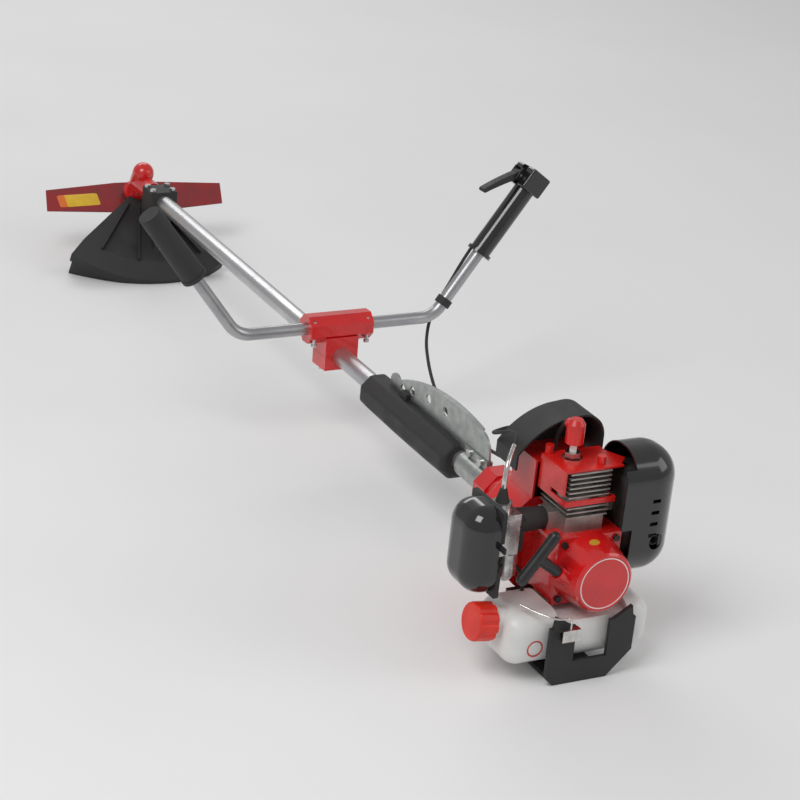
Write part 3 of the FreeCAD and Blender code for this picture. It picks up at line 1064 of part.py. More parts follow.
lever_face = outline_face(
    root + lever_side * 5.5, (root + lever_side * 3 + lever_way * d.trigger_length * 0.5, end + lever_side * 3),
    (end + lever_way * 4, end - lever_side * 4),
    (root - lever_side * 6 + lever_way * d.trigger_length * 0.5, root - lever_side * 5.5))
lever_face.translate(Vector(0, -d.trigger_width / 2, 0))
trigger = hub.fuse(lever_face.extrude(Vector(0, d.trigger_width, 0)))
trigger = trigger.cut(Part.makeCylinder(
    d.trigger_pin_r + d.run_gap, d.trigger_width + 2, hinge_at - Vector(0, d.trigger_width / 2 + 1, 0), Vector(0, 1, 0)))
bar_part("throttle_trigger", solid(in_throttle_frame(trigger)))
lock = Part.makeBox(d.lock_height, d.lock_width, d.lock_length, Vector(
    -d.box_height / 2 - d.lock_height - d.part_gap, -d.lock_width / 2, 8))
bar_part("stop_switch", solid(in_throttle_frame(lock.makeFillet(2, lock.Edges))))

# The throttle cable leaves the throttle housing beside the right grip, runs down the front of the arm
# through the band, sags beside the shaft, climbs over the clutch housing and ends in the guide tube.
cable_start = throttle_at.multVec(Vector(0, d.cable_r + 1 - d.box_depth / 2, d.box_gap))
cable_start = Rotation(Vector(1, 0, 0), -d.arm_lean).multVec(cable_start) + Vector(0, d.clamp_y, d.bar_z)
cable_way = Rotation(Vector(1, 0, 0), -d.arm_lean).multVec(arm_direction(1))
cable_points = [
    cable_start, cable_start - cable_way * 46, Vector(251, 815, 156), Vector(222, 810, 117),
    Vector(198, 802, 84), Vector(181, 800, 58), Vector(166, 796, 28), Vector(152, 774, 2),
    Vector(140, 737, -20), Vector(126, 690, -34), Vector(112, 636, -40), Vector(99, 578, -38),
    Vector(89, 518, -31), Vector(82, 458, -24), Vector(76, 398, -14), Vector(72, 342, 2),
    Vector(70, 292, 30), Vector(63, 254, 68), Vector(40, 236, 102), Vector(4, 228, 118),
    Vector(-34, 220, 121), Vector(-64, 202, 126), Vector(-75, 176, 138), Vector(-70, 151, 151),
    guide_end + guide_way * 18, guide_end]
machine_part("throttle_cable", swept_tube("throttle_cable", cable_points, d.cable_r), cable_boot)

# ---------------------------------------------------------------- gear head and blade
# Head frame: +Z up the output axis, +Y forward; the drive axis comes in from the rear and above.
drive_way = Rotation(Vector(1, 0, 0), -d.head_tilt).multVec(Vector(0, -1, 0))
drive_frame = Placement(Vector(), Rotation(Vector(0, 0, 1), drive_way))


def along_drive(radius, start, length, end_radius=0):
    """A cylinder or cone on the drive axis, start measured back from the crossing point."""
    at = drive_way * start
    if end_radius:
        return Part.makeCone(radius, end_radius, length, at, drive_way)
    return Part.makeCylinder(radius, length, at, drive_way)


upright = Part.makeCylinder(d.head_r, d.head_dome - d.head_base, Vector(0, 0, d.head_base))
dome = Part.makeSphere(d.head_r, Vector(0, 0, d.head_dome))
foot = Part.makeCylinder(d.head_flange_r, d.head_flange, Vector(0, 0, d.head_base))
head = upright.fuse([dome, foot, along_drive(d.neck_shell_r, 0, d.neck_back)])
bearing_depth = d.head_station - d.input_bearing_at
room = Part.makeCylinder(d.head_room_r, d.cap_bearing_base + d.part_gap - d.output_bearing_top,
                         Vector(0, 0, d.output_bearing_top))
head_cuts = [
    room, along_drive(d.input_bearing_r - 2, 0, bearing_depth),
    along_drive(d.input_bearing_r, bearing_depth - d.input_bearing_width, d.input_bearing_width),
    along_drive(d.input_bearing_r - 2, bearing_depth - 1, 5),
    along_drive(d.tube_r, d.head_station - d.tube_end, 80),
    Part.makeCylinder(d.output_bearing_r, d.output_bearing_width + 1,
                      Vector(0, 0, d.output_bearing_top - d.output_bearing_width)),
    Part.makeCylinder(d.output_r + 2, 40, Vector(0, 0, d.head_base - 1)),
    Part.makeCylinder(d.cap_bearing_r, d.cap_bearing_width + 2 * d.part_gap, Vector(0, 0, d.cap_bearing_base))]
for tool in head_cuts:
    head = head.cut(tool)
head_part("gear_head", solid(head))
input_bearing = solid(
    along_drive(d.input_bearing_r, bearing_depth - d.input_bearing_width, d.input_bearing_width).cut(
        along_drive(d.pinion_hub_r + d.run_gap, bearing_depth - 20, 40)))
output_low = Part.makeCylinder(d.output_bearing_r, d.output_bearing_width,
                               Vector(0, 0, d.output_bearing_top - d.output_bearing_width))
output_low = output_low.cut(Part.makeCylinder(d.output_r + d.run_gap, 60, Vector(0, 0, -50)))
output_high = Part.makeCylinder(d.cap_bearing_r, d.cap_bearing_width, Vector(0, 0, d.cap_bearing_base))
output_high = output_high.cut(Part.makeCylinder(d.cap_stub_r + d.run_gap, 60, Vector(0, 0, 0)))
subpart("ball_bearings", *[machine(ring) for ring in crank_bearings + drum_bearings],
        *[on_head(ring) for ring in (input_bearing, solid(output_low), solid(output_high))])

meeting = math.radians(90 - d.head_tilt)
pinion_cone = math.atan(math.sin(meeting) / (d.gear_teeth / d.pinion_teeth + math.cos(meeting)))
gear_cone = meeting - pinion_cone


def toothed_cone(cone_angle, teeth, groove_depth):
    """A bevel wheel about +Z with its apex at the origin: a cone frustum with radial grooves."""
    near, far = d.cone_reach - d.face_width, d.cone_reach
    low, high = near * math.cos(cone_angle), far * math.cos(cone_angle)
    shrink = d.mesh_gap / math.cos(cone_angle)
    wheel = Part.makeCone(near * math.sin(cone_angle) - shrink, far * math.sin(cone_angle) - shrink,
                          high - low, Vector(0, 0, low))
    for i in range(int(teeth)):
        tool = Part.makeBox(2 * d.cone_reach, 0.9, 1.2 * groove_depth, Vector(0, -0.45, 0))
        tool.Placement = Placement(
            Vector(), Rotation(Vector(0, 0, 1), 360 * i / teeth).multiply(
                Rotation(Vector(0, 1, 0), -90 + math.degrees(cone_angle)))).multiply(
            Placement(Vector(0, 0, -d.mesh_gap - groove_depth), Rotation())).multiply(tool.Placement)
        wheel = wheel.cut(tool)
    return wheel, high


pinion, pinion_back = toothed_cone(pinion_cone, d.pinion_teeth, 1.6)
hub_length = bearing_depth + 3 - pinion_back
pinion = pinion.fuse(Part.makeCylinder(d.pinion_hub_r, hub_length, Vector(0, 0, pinion_back)))
socket_length = d.head_station - d.drive_end
pinion = pinion.cut(Part.makeCylinder(d.drive_r, 60, Vector(0, 0, socket_length)))
head_part("bevel_pinion", solid(pinion.transformed(drive_frame.toMatrix(), True)))
gear, gear_top = toothed_cone(gear_cone, d.gear_teeth, 1.8)
gear = gear.cut(Part.makeCylinder(d.output_r, 60, Vector(0, 0, -10)))
spindle = Part.makeCylinder(d.output_r, gear_top - d.output_end, Vector(0, 0, d.output_end))
spindle = spindle.fuse(Part.makeCylinder(
    d.cap_stub_r, d.cap_bearing_base + d.cap_bearing_width - gear_top, Vector(0, 0, gear_top)))
head_part("output_spindle", solid(spindle), solid(gear))

blade_top = "blade_z + blade_thick / 2"
blade_under = "blade_z - blade_thick / 2"
blade_flange = cut(
    fuse(rod("Z", "flange_r", "flange_disc", z=blade_top), rod("Z", "arbor_r", "blade_thick", z=blade_under),
         rod("Z", "output_r + 6", f"head_base - part_gap - ({blade_top}) - 0.6", z=blade_top)),
    rod("Z", "output_r", "60", z="-80"))
blade = padded([
    ("-blade_half + tip_shear", "blade_tip_half"), ("-blade_half", "-blade_tip_half"),
    ("-blade_mid_x", "-blade_mid_half"), ("blade_mid_x", "-blade_mid_half"),
    ("blade_half - tip_shear", "-blade_tip_half"), ("blade_half", "blade_tip_half"),
    ("blade_mid_x", "blade_mid_half"), ("-blade_mid_x", "blade_mid_half")], "blade_thick")
bind(blade, z=blade_under)
blade = turned(group(blade), (0, 0, 1), "blade_turn")
head_part("blade", cut(blade, rod("Z", "arbor_r", "20", z="blade_z - 10")))
blade_washer = cut(
    cone("Z", "washer_r - 6", "washer_r", "washer_thick", z=f"{blade_under} - washer_thick"),
    rod("Z", "output_r", "60", z="-80"))
blade_nut = cut(
    prism(6, "Z", "nut_across / 2 / cos(30)", "nut_height", z=f"{blade_under} - washer_thick - nut_height"),
    rod("Z", "output_r", "60", z="-90"))
head_part("blade_clamp", blade_flange, blade_washer, blade_nut)

# ---------------------------------------------------------------- guard
RIB_TURNS = ("-30", "-8", "32")
guard_shell = revolved([
    ("-guard_inner_r", "guard_deck_z"), ("-guard_r + 34", "guard_deck_z"), ("-guard_r", "guard_drop"),
    ("-guard_r", "guard_skirt"), ("-guard_r + guard_thick", "guard_skirt"),
    ("-guard_r + guard_thick", "guard_drop - guard_thick"),
    ("-guard_r + 34", "guard_deck_z - guard_thick"), ("-guard_inner_r", "guard_deck_z - guard_thick")],
    plane="YZ_Plane", angle="guard_sweep", both_ways=True)
ribs = [turned(group(box(("-rib_half", "rib_half"), ("-rib_end", "-rib_start"), (
    "guard_deck_z - guard_thick / 2", "guard_deck_z + rib_rise"))), (0, 0, 1), angle) for angle in RIB_TURNS]
guard_fan = turned(group(fuse(guard_shell, *ribs)), (0, 0, 1), "-guard_turn")
flap = revolved([
    ("-guard_r + guard_thick", "guard_drop - 8"), ("-guard_r + 2 * guard_thick", "guard_drop - 8"),
    ("-guard_r + 2 * guard_thick", "flap_bottom"), ("-guard_r + guard_thick", "flap_bottom")],
    plane="YZ_Plane", angle="flap_sweep", both_ways=True)
flap = turned(group(flap), (0, 0, 1), "-flap_turn")


def above_ground(thing):
    """Trim a piece of the guard where the resting machine's ground plane cuts it."""
    slab = doc.addObject("Part::Box", "Ground")
    slab.Placement.Rotation = Rotation(Vector(1, 0, 0), -d.head_tilt)
    bind(slab, Length="3 * guard_r", Width="4 * guard_r", Height="guard_r", x="-1.5 * guard_r",
         y="-2 * guard_r * cos(head_tilt) - (guard_r + axis_height) * sin(head_tilt)",
         z="2 * guard_r * sin(head_tilt) - (guard_r + axis_height) * cos(head_tilt)")
    return cut(thing, slab)


head_part("guard", above_ground(guard_fan))
head_part("guard_flap", above_ground(flap))
bracket_run = ("bracket_y - bracket_length / 2", "bracket_y + bracket_length / 2")
deck_below = group(box(("-guard_r", "guard_r"), ("-guard_r", "guard_r"), ("-guard_r", "guard_deck_z")))
deck_below = bind(turned(deck_below, (1, 0, 0), "head_tilt"), y="head_station")
bolt_spots = [(f"{sx}(bracket_half - 6)", f"bracket_y {sy} bracket_bolt") for sx in ("-", "") for sy in "-+"]
machine_part("guard_bracket", cut(
    fuse(box(("-bracket_half", "bracket_half"), bracket_run, ("-tube_r - 12", "tube_r + 6")),
         box(("-bracket_leg_half", "bracket_leg_half"), bracket_run, ("-bracket_reach", "-tube_r - 4"))),
    rod("Y", "tube_r", "bracket_length + 2", y="bracket_y - bracket_length / 2 - 1"),
    *[rod("Z", "screw_r", "80", x, y, "-40") for x, y in bolt_spots], deck_below))
guard_screws = [
    fuse(rod("Z", "screw_r", "2 * tube_r + 18", x, y, "-tube_r - 12"),
         prism(6, "Z", "screw_head_r + 1", "screw_head + 1", x, y, "tube_r + 6"))
    for x, y in bolt_spots]
cover_screws = [
    fuse(rod("Y", "screw_r", "14 + flange_thick", f"{sx}cover_screw_at", "cover_depth - flange_thick",
             f"{sz}cover_screw_at"),
         rod("Y", "screw_head_r", "screw_head", f"{sx}cover_screw_at",
             "cover_depth - flange_thick - screw_head", f"{sz}cover_screw_at"))
    for sx, sz in corners]
subpart("screws_and_bolts", *[machine(screw) for screw in [
    pinch_screw, *cover_screws, *hanger_bolts, *guard_screws]],
    *[on_bar(screw) for screw in [*clamp_screws, trigger_pin]])

# ---------------------------------------------------------------- checks and export
doc.recompute()
for thing in doc.Objects:
    if "Invalid" in thing.State or "Error" in thing.State:
        raise RuntimeError(f"{thing.Label} could not be rebuilt")
for thing in SUBPARTS:
    if thing.Shape.isNull() or not thing.Shape.isValid() or not thing.Shape.Solids:
        raise RuntimeError(f"{thing.Label} has no valid solid")
os.makedirs("parts", exist_ok=True)
for thing in SUBPARTS:
    thing.Shape.exportStep(f"parts/{thing.Label}.step")
    print(f"{thing.Label:18s} solids {len(thing.Shape.Solids)}  volume {thing.Shape.Volume / 1000:8.1f} cm3")
print(len(SUBPARTS), "sub-parts written")
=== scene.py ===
# %% [markdown]
# # A brush cutter, finished in Blender
# The machine arrives as a fixed frame of engineering parts, each already in its place, in metres:
# +Y runs forward along the shaft, +X is the operator's right and +Z is up.  This lesson gives every
# part the finish of the real one, and rebuilds the few parts that a plain solid can't stand for.
# We load the frame first.  Nothing made here may grow past that box.

# %% Load the frame
import json
import math

import bmesh
import bpy
import numpy as np
from mathutils import Matrix, Vector


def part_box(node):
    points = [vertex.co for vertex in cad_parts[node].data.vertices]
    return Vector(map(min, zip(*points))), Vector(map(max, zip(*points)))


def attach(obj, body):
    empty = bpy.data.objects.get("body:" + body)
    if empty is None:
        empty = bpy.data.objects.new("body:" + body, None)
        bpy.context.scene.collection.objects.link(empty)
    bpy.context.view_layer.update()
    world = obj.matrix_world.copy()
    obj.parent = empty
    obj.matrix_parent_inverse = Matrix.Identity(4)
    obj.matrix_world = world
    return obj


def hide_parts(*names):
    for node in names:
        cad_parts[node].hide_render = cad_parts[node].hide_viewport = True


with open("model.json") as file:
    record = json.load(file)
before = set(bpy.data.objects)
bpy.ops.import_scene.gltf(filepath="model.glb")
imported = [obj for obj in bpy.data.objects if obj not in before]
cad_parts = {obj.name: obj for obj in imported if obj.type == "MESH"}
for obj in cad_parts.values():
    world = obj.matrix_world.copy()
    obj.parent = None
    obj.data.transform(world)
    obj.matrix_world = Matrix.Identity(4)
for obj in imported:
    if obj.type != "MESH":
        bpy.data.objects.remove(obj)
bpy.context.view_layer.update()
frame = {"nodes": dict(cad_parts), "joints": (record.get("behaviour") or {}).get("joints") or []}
nodes = frame["nodes"]
MM = 0.001
print("parts in the frame:", len(nodes))

# %% [markdown]
# ## Where things are
# Three places carry almost everything we add: the crank axis, which the round starter and fan parts
# share; the crossing point inside the gear head, where the blade's axis leans back; and the hip pad's
# line along the shaft.  We read each from the frame's own joints and boxes, so that a later change of
# the design moves our pieces with it.

# %% Read the places from the frame
joints = {joint["name"]: joint for joint in frame["joints"]}
crank_z = joints["crank_spin"]["pos_m"][2]
head_origin = np.array(joints["blade_spin"]["pos_m"])
blade_axis = np.array(joints["blade_spin"]["axis"])
head_side = np.array([1.0, 0.0, 0.0])


def box_of(name):
    """A part's lowest and highest corner as numpy points."""
    low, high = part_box(name)
    return np.array(low), np.array(high)


print("crank axis at z =", crank_z, " head at", head_origin.round(3))

# %% [markdown]
# ## Making a surface from a formula
# A moulded or pressed piece is a skin.  We describe a skin as a function of two parameters on a grid,
# work all of its points out as one numpy array, and hand the array to the mesh in one call.  A grid
# that meets itself is wrapped, so it has no seam, and points that fall together at a pole are merged.

# %% Grid to mesh
def grid_faces(rows, columns, wrap_rows, wrap_columns):
    """Corner numbers of every quad of a grid whose point (i, j) has the number i * columns + j."""
    i, j = np.meshgrid(np.arange(rows if wrap_rows else rows - 1),
                       np.arange(columns if wrap_columns else columns - 1), indexing="ij")
    i_next, j_next = (i + 1) % rows, (j + 1) % columns
    return np.stack([i * columns + j, i_next * columns + j, i_next * columns + j_next,
                     i * columns + j_next], axis=-1).reshape(-1, 4)


def skin(name, points, wrap_rows=False, wrap_columns=True, sharp_degrees=40):
    """A mesh object from a (rows, columns, 3) array of points, its faces turned outwards."""
    rows, columns = points.shape[:2]
    faces = grid_faces(rows, columns, wrap_rows, wrap_columns)
    mesh = bpy.data.meshes.new(name)
    mesh.vertices.add(rows * columns)
    mesh.vertices.foreach_set("co", points.astype(np.float32).ravel())
    mesh.loops.add(faces.size)
    mesh.loops.foreach_set("vertex_index", faces.astype(np.int32).ravel())
    mesh.polygons.add(len(faces))
    mesh.polygons.foreach_set("loop_start", np.arange(0, faces.size, 4, dtype=np.int32))
    mesh.update(calc_edges=True)
    work = bmesh.new()
    work.from_mesh(mesh)
    bmesh.ops.remove_doubles(work, verts=work.verts, dist=1e-6)
    bmesh.ops.dissolve_degenerate(work, edges=work.edges, dist=1e-7)
    holes = [edge for edge in work.edges if edge.is_boundary]
    if holes:
        bmesh.ops.holes_fill(work, edges=holes, sides=0)
    bmesh.ops.recalc_face_normals(work, faces=work.faces)
    work.to_mesh(mesh)
    work.free()
    mesh.shade_smooth()
    mesh.set_sharp_from_angle(angle=math.radians(sharp_degrees))
    piece = bpy.data.objects.new(name, mesh)
    bpy.context.scene.collection.objects.link(piece)
    print(f"{name}: {len(mesh.vertices)} points, {len(mesh.polygons)} faces")
    return piece


def frame_of(axis):
    """Two directions at right angles to an axis, which turn with it by the right-hand rule."""
    axis = np.asarray(axis, float) / np.linalg.norm(axis)
    helper = np.array([0.0, 0.0, 1.0]) if abs(axis[2]) < 0.9 else np.array([1.0, 0.0, 0.0])
    across = np.cross(helper, axis)
    across /= np.linalg.norm(across)
    return across, np.cross(axis, across)


def turned(name, start, axis, profile, around=64, sharp_degrees=40):
    """A lathe shape: profile (distance, radius) pairs carried round an axis.
    Point = start + axis * distance + (across cos a + up sin a) * radius."""
    axis = np.asarray(axis, float) / np.linalg.norm(axis)
    across, up = frame_of(axis)
    angle = np.linspace(0, 2 * np.pi, around, endpoint=False)
    distance, radius = np.array(profile, float).T
    circle = np.cos(angle)[:, None] * across + np.sin(angle)[:, None] * up
    points = (np.asarray(start)[None, None] + distance[:, None, None] * axis
              + radius[:, None, None] * circle[None])
    return skin(name, points, sharp_degrees=sharp_degrees)


print("helpers ready: skin, turned")

# %% [markdown]
# ## Shared effects
# Real surfaces are never one even value.  Two small node groups give that unevenness to every finish:
# *blotches* is slow, soft variation such as paint flow and handling marks, and *grain* is the fine
# texture of a casting or of moulded plastic.  Each is built once, with named sockets, and every
# material sets its own values.  Both read the part's own object coordinates, so a pattern stays on
# the part when it moves.

# %% Node groups
def new_group(name, inputs, outputs):
    """An empty shader node group with float or vector sockets."""
    group = bpy.data.node_groups.new(name, "ShaderNodeTree")
    for title, kind, value in inputs:
        socket = group.interface.new_socket(name=title, in_out="INPUT", socket_type=kind)
        if kind == "NodeSocketFloat":
            socket.default_value = value
    for title in outputs:
        group.interface.new_socket(name=title, in_out="OUTPUT", socket_type="NodeSocketFloat")
    return group, group.nodes.new("NodeGroupInput"), group.nodes.new("NodeGroupOutput")


def blotch_group():
    """Two octaves of soft noise, stretched to run from 0 to 1."""
    group, given, out = new_group("blotches", [
        ("Position", "NodeSocketVector", None), ("Scale", "NodeSocketFloat", 30.0)], ["Mask"])
    noise = group.nodes.new("ShaderNodeTexNoise")
    noise.inputs["Detail"].default_value = 3.0
    spread = group.nodes.new("ShaderNodeMapRange")
    spread.inputs["From Min"].default_value = 0.35
    spread.inputs["From Max"].default_value = 0.65
    group.links.new(given.outputs["Position"], noise.inputs["Vector"])
    group.links.new(given.outputs["Scale"], noise.inputs["Scale"])
    group.links.new(noise.outputs["Fac"], spread.inputs["Value"])
    group.links.new(spread.outputs["Result"], out.inputs["Mask"])
    return group


def grain_group():
    """Fine pits: a cell pattern under fine noise, as a height from 0 to 1."""
    group, given, out = new_group("grain", [
        ("Position", "NodeSocketVector", None), ("Scale", "NodeSocketFloat", 900.0)], ["Height"])
    cells = group.nodes.new("ShaderNodeTexVoronoi")
    noise = group.nodes.new("ShaderNodeTexNoise")
    noise.inputs["Detail"].default_value = 2.0
    blend = group.nodes.new("ShaderNodeMath")
    blend.operation = "MULTIPLY_ADD"
    blend.inputs[1].default_value = 0.6
    for texture in (cells, noise):
        group.links.new(given.outputs["Position"], texture.inputs["Vector"])
        group.links.new(given.outputs["Scale"], texture.inputs["Scale"])
    group.links.new(cells.outputs["Distance"], blend.inputs[0])
    group.links.new(noise.outputs["Fac"], blend.inputs[2])
    group.links.new(blend.outputs["Value"], out.inputs["Height"])
    return group


BLOTCHES = blotch_group()
GRAIN = grain_group()
print("node groups:", BLOTCHES.name, "and", GRAIN.name)

# %% [markdown]
# ## One recipe for a finish
# Most finishes differ only in a few numbers: two tones, how rough they are at their smoothest and
# roughest, and how deep and how fine their grain is.  `Finish` builds that recipe.  Values that are
# the same all over, such as metallic and coat, go straight onto the shader's own sockets.

# %% The finish recipe
class Finish:
    """A material with a Principled shader, kept open so that later cells can add to it."""

    def __init__(self, name, tone, second_tone, rough=(0.3, 0.4), blotch_scale=30.0,
                 grain_scale=900.0, grain_depth=0.0, **shader_values):
        self.material = bpy.data.materials.new(name)
        self.material.use_nodes = True
        self.tree = self.material.node_tree
        self.shader = self.tree.nodes["Principled BSDF"]
        for socket, value in shader_values.items():
            self.shader.inputs[socket.replace("_", " ")].default_value = value
        self.position = self.node("ShaderNodeTexCoord").outputs["Object"]
        self.mask = self.grouped(BLOTCHES, blotch_scale).outputs["Mask"]
        self.colour = self.mix_colour(self.mask, tone, second_tone)
        self.rough = self.spread(self.mask, rough[0], rough[1])
        self.link(self.colour, self.shader.inputs["Base Color"])
        self.link(self.rough, self.shader.inputs["Roughness"])
        if grain_depth:
            bump = self.node("ShaderNodeBump")
            bump.inputs["Distance"].default_value = grain_depth
            bump.inputs["Strength"].default_value = 1.0
            self.link(self.grouped(GRAIN, grain_scale).outputs["Height"], bump.inputs["Height"])
            self.link(bump.outputs["Normal"], self.shader.inputs["Normal"])

    def node(self, kind):
        return self.tree.nodes.new(kind)

    def link(self, source, target):
        self.tree.links.new(source, target)

    def grouped(self, group, scale):
        holder = self.node("ShaderNodeGroup")
        holder.node_tree = group
        holder.inputs["Scale"].default_value = scale
        self.link(self.position, holder.inputs["Position"])
        return holder

    def mix_colour(self, factor, first, second):
        """Two colours, or a colour and a socket, mixed by a mask."""
        mix = self.node("ShaderNodeMix")
        mix.data_type = "RGBA"
        self.link(factor, mix.inputs["Factor"])
        for socket, value in ((mix.inputs["A"], first), (mix.inputs["B"], second)):
            target = [s for s in mix.inputs if s.name == socket.name and s.type == "RGBA"][0]
            if isinstance(value, tuple):
                target.default_value = (*value, 1.0)
            else:
                self.link(value, target)
        return [s for s in mix.outputs if s.type == "RGBA"][0]

    def spread(self, value, low, high, start=0.0, end=1.0):
        """Map a value from start..end to low..high, held at both ends."""
        node = self.node("ShaderNodeMapRange")
        self.link(value, node.inputs["Value"])
        for title, number in (("From Min", start), ("From Max", end), ("To Min", low), ("To Max", high)):
            node.inputs[title].default_value = number
        return node.outputs["Result"]

    def maths(self, operation, first, second=None):
        node = self.node("ShaderNodeMath")
        node.operation = operation
        for socket, value in zip(node.inputs, (first, second)):
            if value is None:
                continue
            if isinstance(value, (int, float)):
                socket.default_value = value
            else:
                self.link(value, socket)
        return node.outputs["Value"]

    def distance_from(self, centre, flatten=(1.0, 1.0, 1.0)):
        """Distance in metres from a point, with each direction weighted: 0 leaves it out."""
        mapping = self.node("ShaderNodeMapping")
        mapping.inputs["Location"].default_value = [-c * f for c, f in zip(centre, flatten)]
        mapping.inputs["Scale"].default_value = flatten
        self.link(self.position, mapping.inputs["Vector"])
        length = self.node("ShaderNodeVectorMath")
        length.operation = "LENGTH"
        self.link(mapping.outputs["Vector"], length.inputs[0])
        return length.outputs["Value"]

    def coordinate(self, letter):
        apart = self.node("ShaderNodeSeparateXYZ")
        self.link(self.position, apart.inputs["Vector"])
        return apart.outputs[letter]

    def repaint(self, mask, colour=None, rough=None, metallic=None):
        """Where the mask is 1, the surface takes another colour, roughness or metal."""
        if colour is not None:
            self.colour = self.mix_colour(mask, self.colour, colour)
            self.link(self.colour, self.shader.inputs["Base Color"])
        if rough is not None:
            gap = self.maths("SUBTRACT", rough, self.rough)
            self.rough = self.maths("ADD", self.rough, self.maths("MULTIPLY", gap, mask))
            self.link(self.rough, self.shader.inputs["Roughness"])
        if metallic is not None:
            base = self.shader.inputs["Metallic"].default_value
            self.link(self.spread(mask, base, metallic), self.shader.inputs["Metallic"])


def cover(finish_or_material, *names):
    """Give parts of the frame a finish by filling their material slots."""
    material = getattr(finish_or_material, "material", finish_or_material)
    for name in names:
        part = nodes[name].data
        part.materials.clear()
        part.materials.append(material)
    print(material.name, "->", ", ".join(names))


print("recipe ready")

# %% [markdown]
# ## Red paint
# The castings are sprayed with a hot, slightly orange red and a clear top coat.  A coat over a low,
# barely changing roughness gives the sharp highlight, and a trace of bump gives the orange peel that
# sprayed paint has.  The fan side, the crankcase and the shaft's clutch housing all share it.

# %% Red paint
RED, DEEP_RED = (0.70, 0.010, 0.010), (0.56, 0.006, 0.007)
red_paint = Finish("red_paint", RED, DEEP_RED, rough=(0.22, 0.32), blotch_scale=18,
                   grain_scale=420, grain_depth=0.00006, Coat_Weight=0.6, Coat_Roughness=0.06)
cover(red_paint, "crankcase", "fan_housing", "clutch_housing", "gear_head", "handle_clamp_base",
      "handle_clamp_caps")

# %% [markdown]
# The starter cover is the same paint with a decal: a fine white ring just inside the rim of its flat
# face, and a small amber spot above it.  A decal has no thickness to speak of, so it is painted by
# distance from the crank axis.  The face is told from the sides by how far back a point lies.

# %% Starter cover paint
starter_back = box_of("starter_cover")[0][1]
starter_paint = Finish("starter_paint", RED, DEEP_RED, rough=(0.20, 0.28), blotch_scale=18,
                       grain_scale=420, grain_depth=0.00006, Coat_Weight=0.7, Coat_Roughness=0.05)
from_axis = starter_paint.distance_from((0.0, 0.0, crank_z), (1.0, 0.0, 1.0))
on_face = starter_paint.spread(starter_paint.coordinate("Y"), 1.0, 0.0,
                               starter_back + 1.5 * MM, starter_back + 2.0 * MM)
RING_R, RING_HALF_WIDTH = 34.5 * MM, 0.55 * MM
off_ring = starter_paint.maths("ABSOLUTE", starter_paint.maths("SUBTRACT", from_axis, RING_R))
ring = starter_paint.spread(off_ring, 1.0, 0.0, RING_HALF_WIDTH, RING_HALF_WIDTH + 0.2 * MM)
starter_paint.repaint(starter_paint.maths("MULTIPLY", ring, on_face), (0.86, 0.84, 0.82), 0.35)
SPOT_AT, SPOT_STRETCH = (-5 * MM, starter_back + 27 * MM, crank_z + 45 * MM), (0.62, 0.8, 0.5)
SPOT_R, SPOT_EDGE = 4.2 * MM, 0.3 * MM
from_spot = starter_paint.distance_from(SPOT_AT, SPOT_STRETCH)
spot = starter_paint.spread(from_spot, 1.0, 0.0, SPOT_R, SPOT_R + SPOT_EDGE)
starter_paint.repaint(spot, (0.55, 0.30, 0.02), 0.4)
cover(starter_paint, "starter_cover")

# %% [markdown]
# ## Blade paint
# The blade is dipped, not sprayed, and its paint is a darker, browner red than the castings have.  The
# roughness varies more than on the sprayed parts, because a dipped coat drains unevenly.

# %% Blade paint
blade_paint = Finish("blade_paint", (0.30, 0.010, 0.014), (0.20, 0.006, 0.009), rough=(0.28, 0.45),
                     blotch_scale=26, grain_scale=700, grain_depth=0.00005, Coat_Weight=0.3,
                     Coat_Roughness=0.15)
cover(blade_paint, "blade")

# %% [markdown]
# ## Bare metals
# The cylinder is a die casting: warm grey, dull and pitted.  The hanger plate is galvanised sheet,
# whose zinc grows in large flat crystals.  Tubes are drawn aluminium with fine marks along them, and
# the plated screws are bright.

# %% Metals
cast_alloy = Finish("cast_alloy", (0.50, 0.48, 0.45), (0.38, 0.36, 0.34),
                    rough=(0.36, 0.52), blotch_scale=60,
                    grain_scale=1300, grain_depth=0.00018, Metallic=0.85)
cover(cast_alloy, "cylinder", "flywheel", "piston_and_rod")

smoky_silver = Finish("smoky_silver", (0.62, 0.62, 0.61), (0.42, 0.42, 0.42),
                      rough=(0.20, 0.34), blotch_scale=80,
                      grain_scale=1100, grain_depth=0.00006, Metallic=0.9)
cover(smoky_silver, "carburettor")

zinc = Finish("galvanised_sheet", (0.46, 0.48, 0.46), (0.36, 0.38, 0.37), rough=(0.30, 0.40),
              blotch_scale=70, grain_scale=900, grain_depth=0.00003, Metallic=0.9)
cover(zinc, "hanger_plate", "hanger_clamp")

satin_tube = Finish("satin_aluminium", (0.60, 0.60, 0.61), (0.50, 0.50, 0.52), rough=(0.28, 0.40),
                    blotch_scale=12, grain_scale=1500, grain_depth=0.00004, Metallic=0.92)
cover(satin_tube, "shaft_tube")

bar_lacquer = Finish("bar_lacquer", (0.46, 0.46, 0.47), (0.36, 0.36, 0.38),
                     rough=(0.30, 0.42), blotch_scale=16, grain_scale=1200, grain_depth=0.00004,
                     Metallic=0.85, Coat_Weight=0.3, Coat_Roughness=0.2)
cover(bar_lacquer, "left_handlebar", "right_handlebar")

plated = Finish("plated_steel", (0.72, 0.71, 0.69), (0.55, 0.54, 0.52),
                rough=(0.14, 0.26), blotch_scale=140,
                grain_scale=900, grain_depth=0.00003, Metallic=1.0)
cover(plated, "cable_guide_tube", "tank_clip", "ball_bearings")

machined = Finish("machined_steel", (0.40, 0.40, 0.41), (0.28, 0.28, 0.30),
                  rough=(0.24, 0.42), blotch_scale=50,
                  grain_scale=1100, grain_depth=0.00005, Metallic=1.0)
cover(machined, "crankshaft", "clutch_shoes", "clutch_drum", "drive_shaft", "bevel_pinion",
      "output_spindle", "blade_clamp", "recoil_spring")

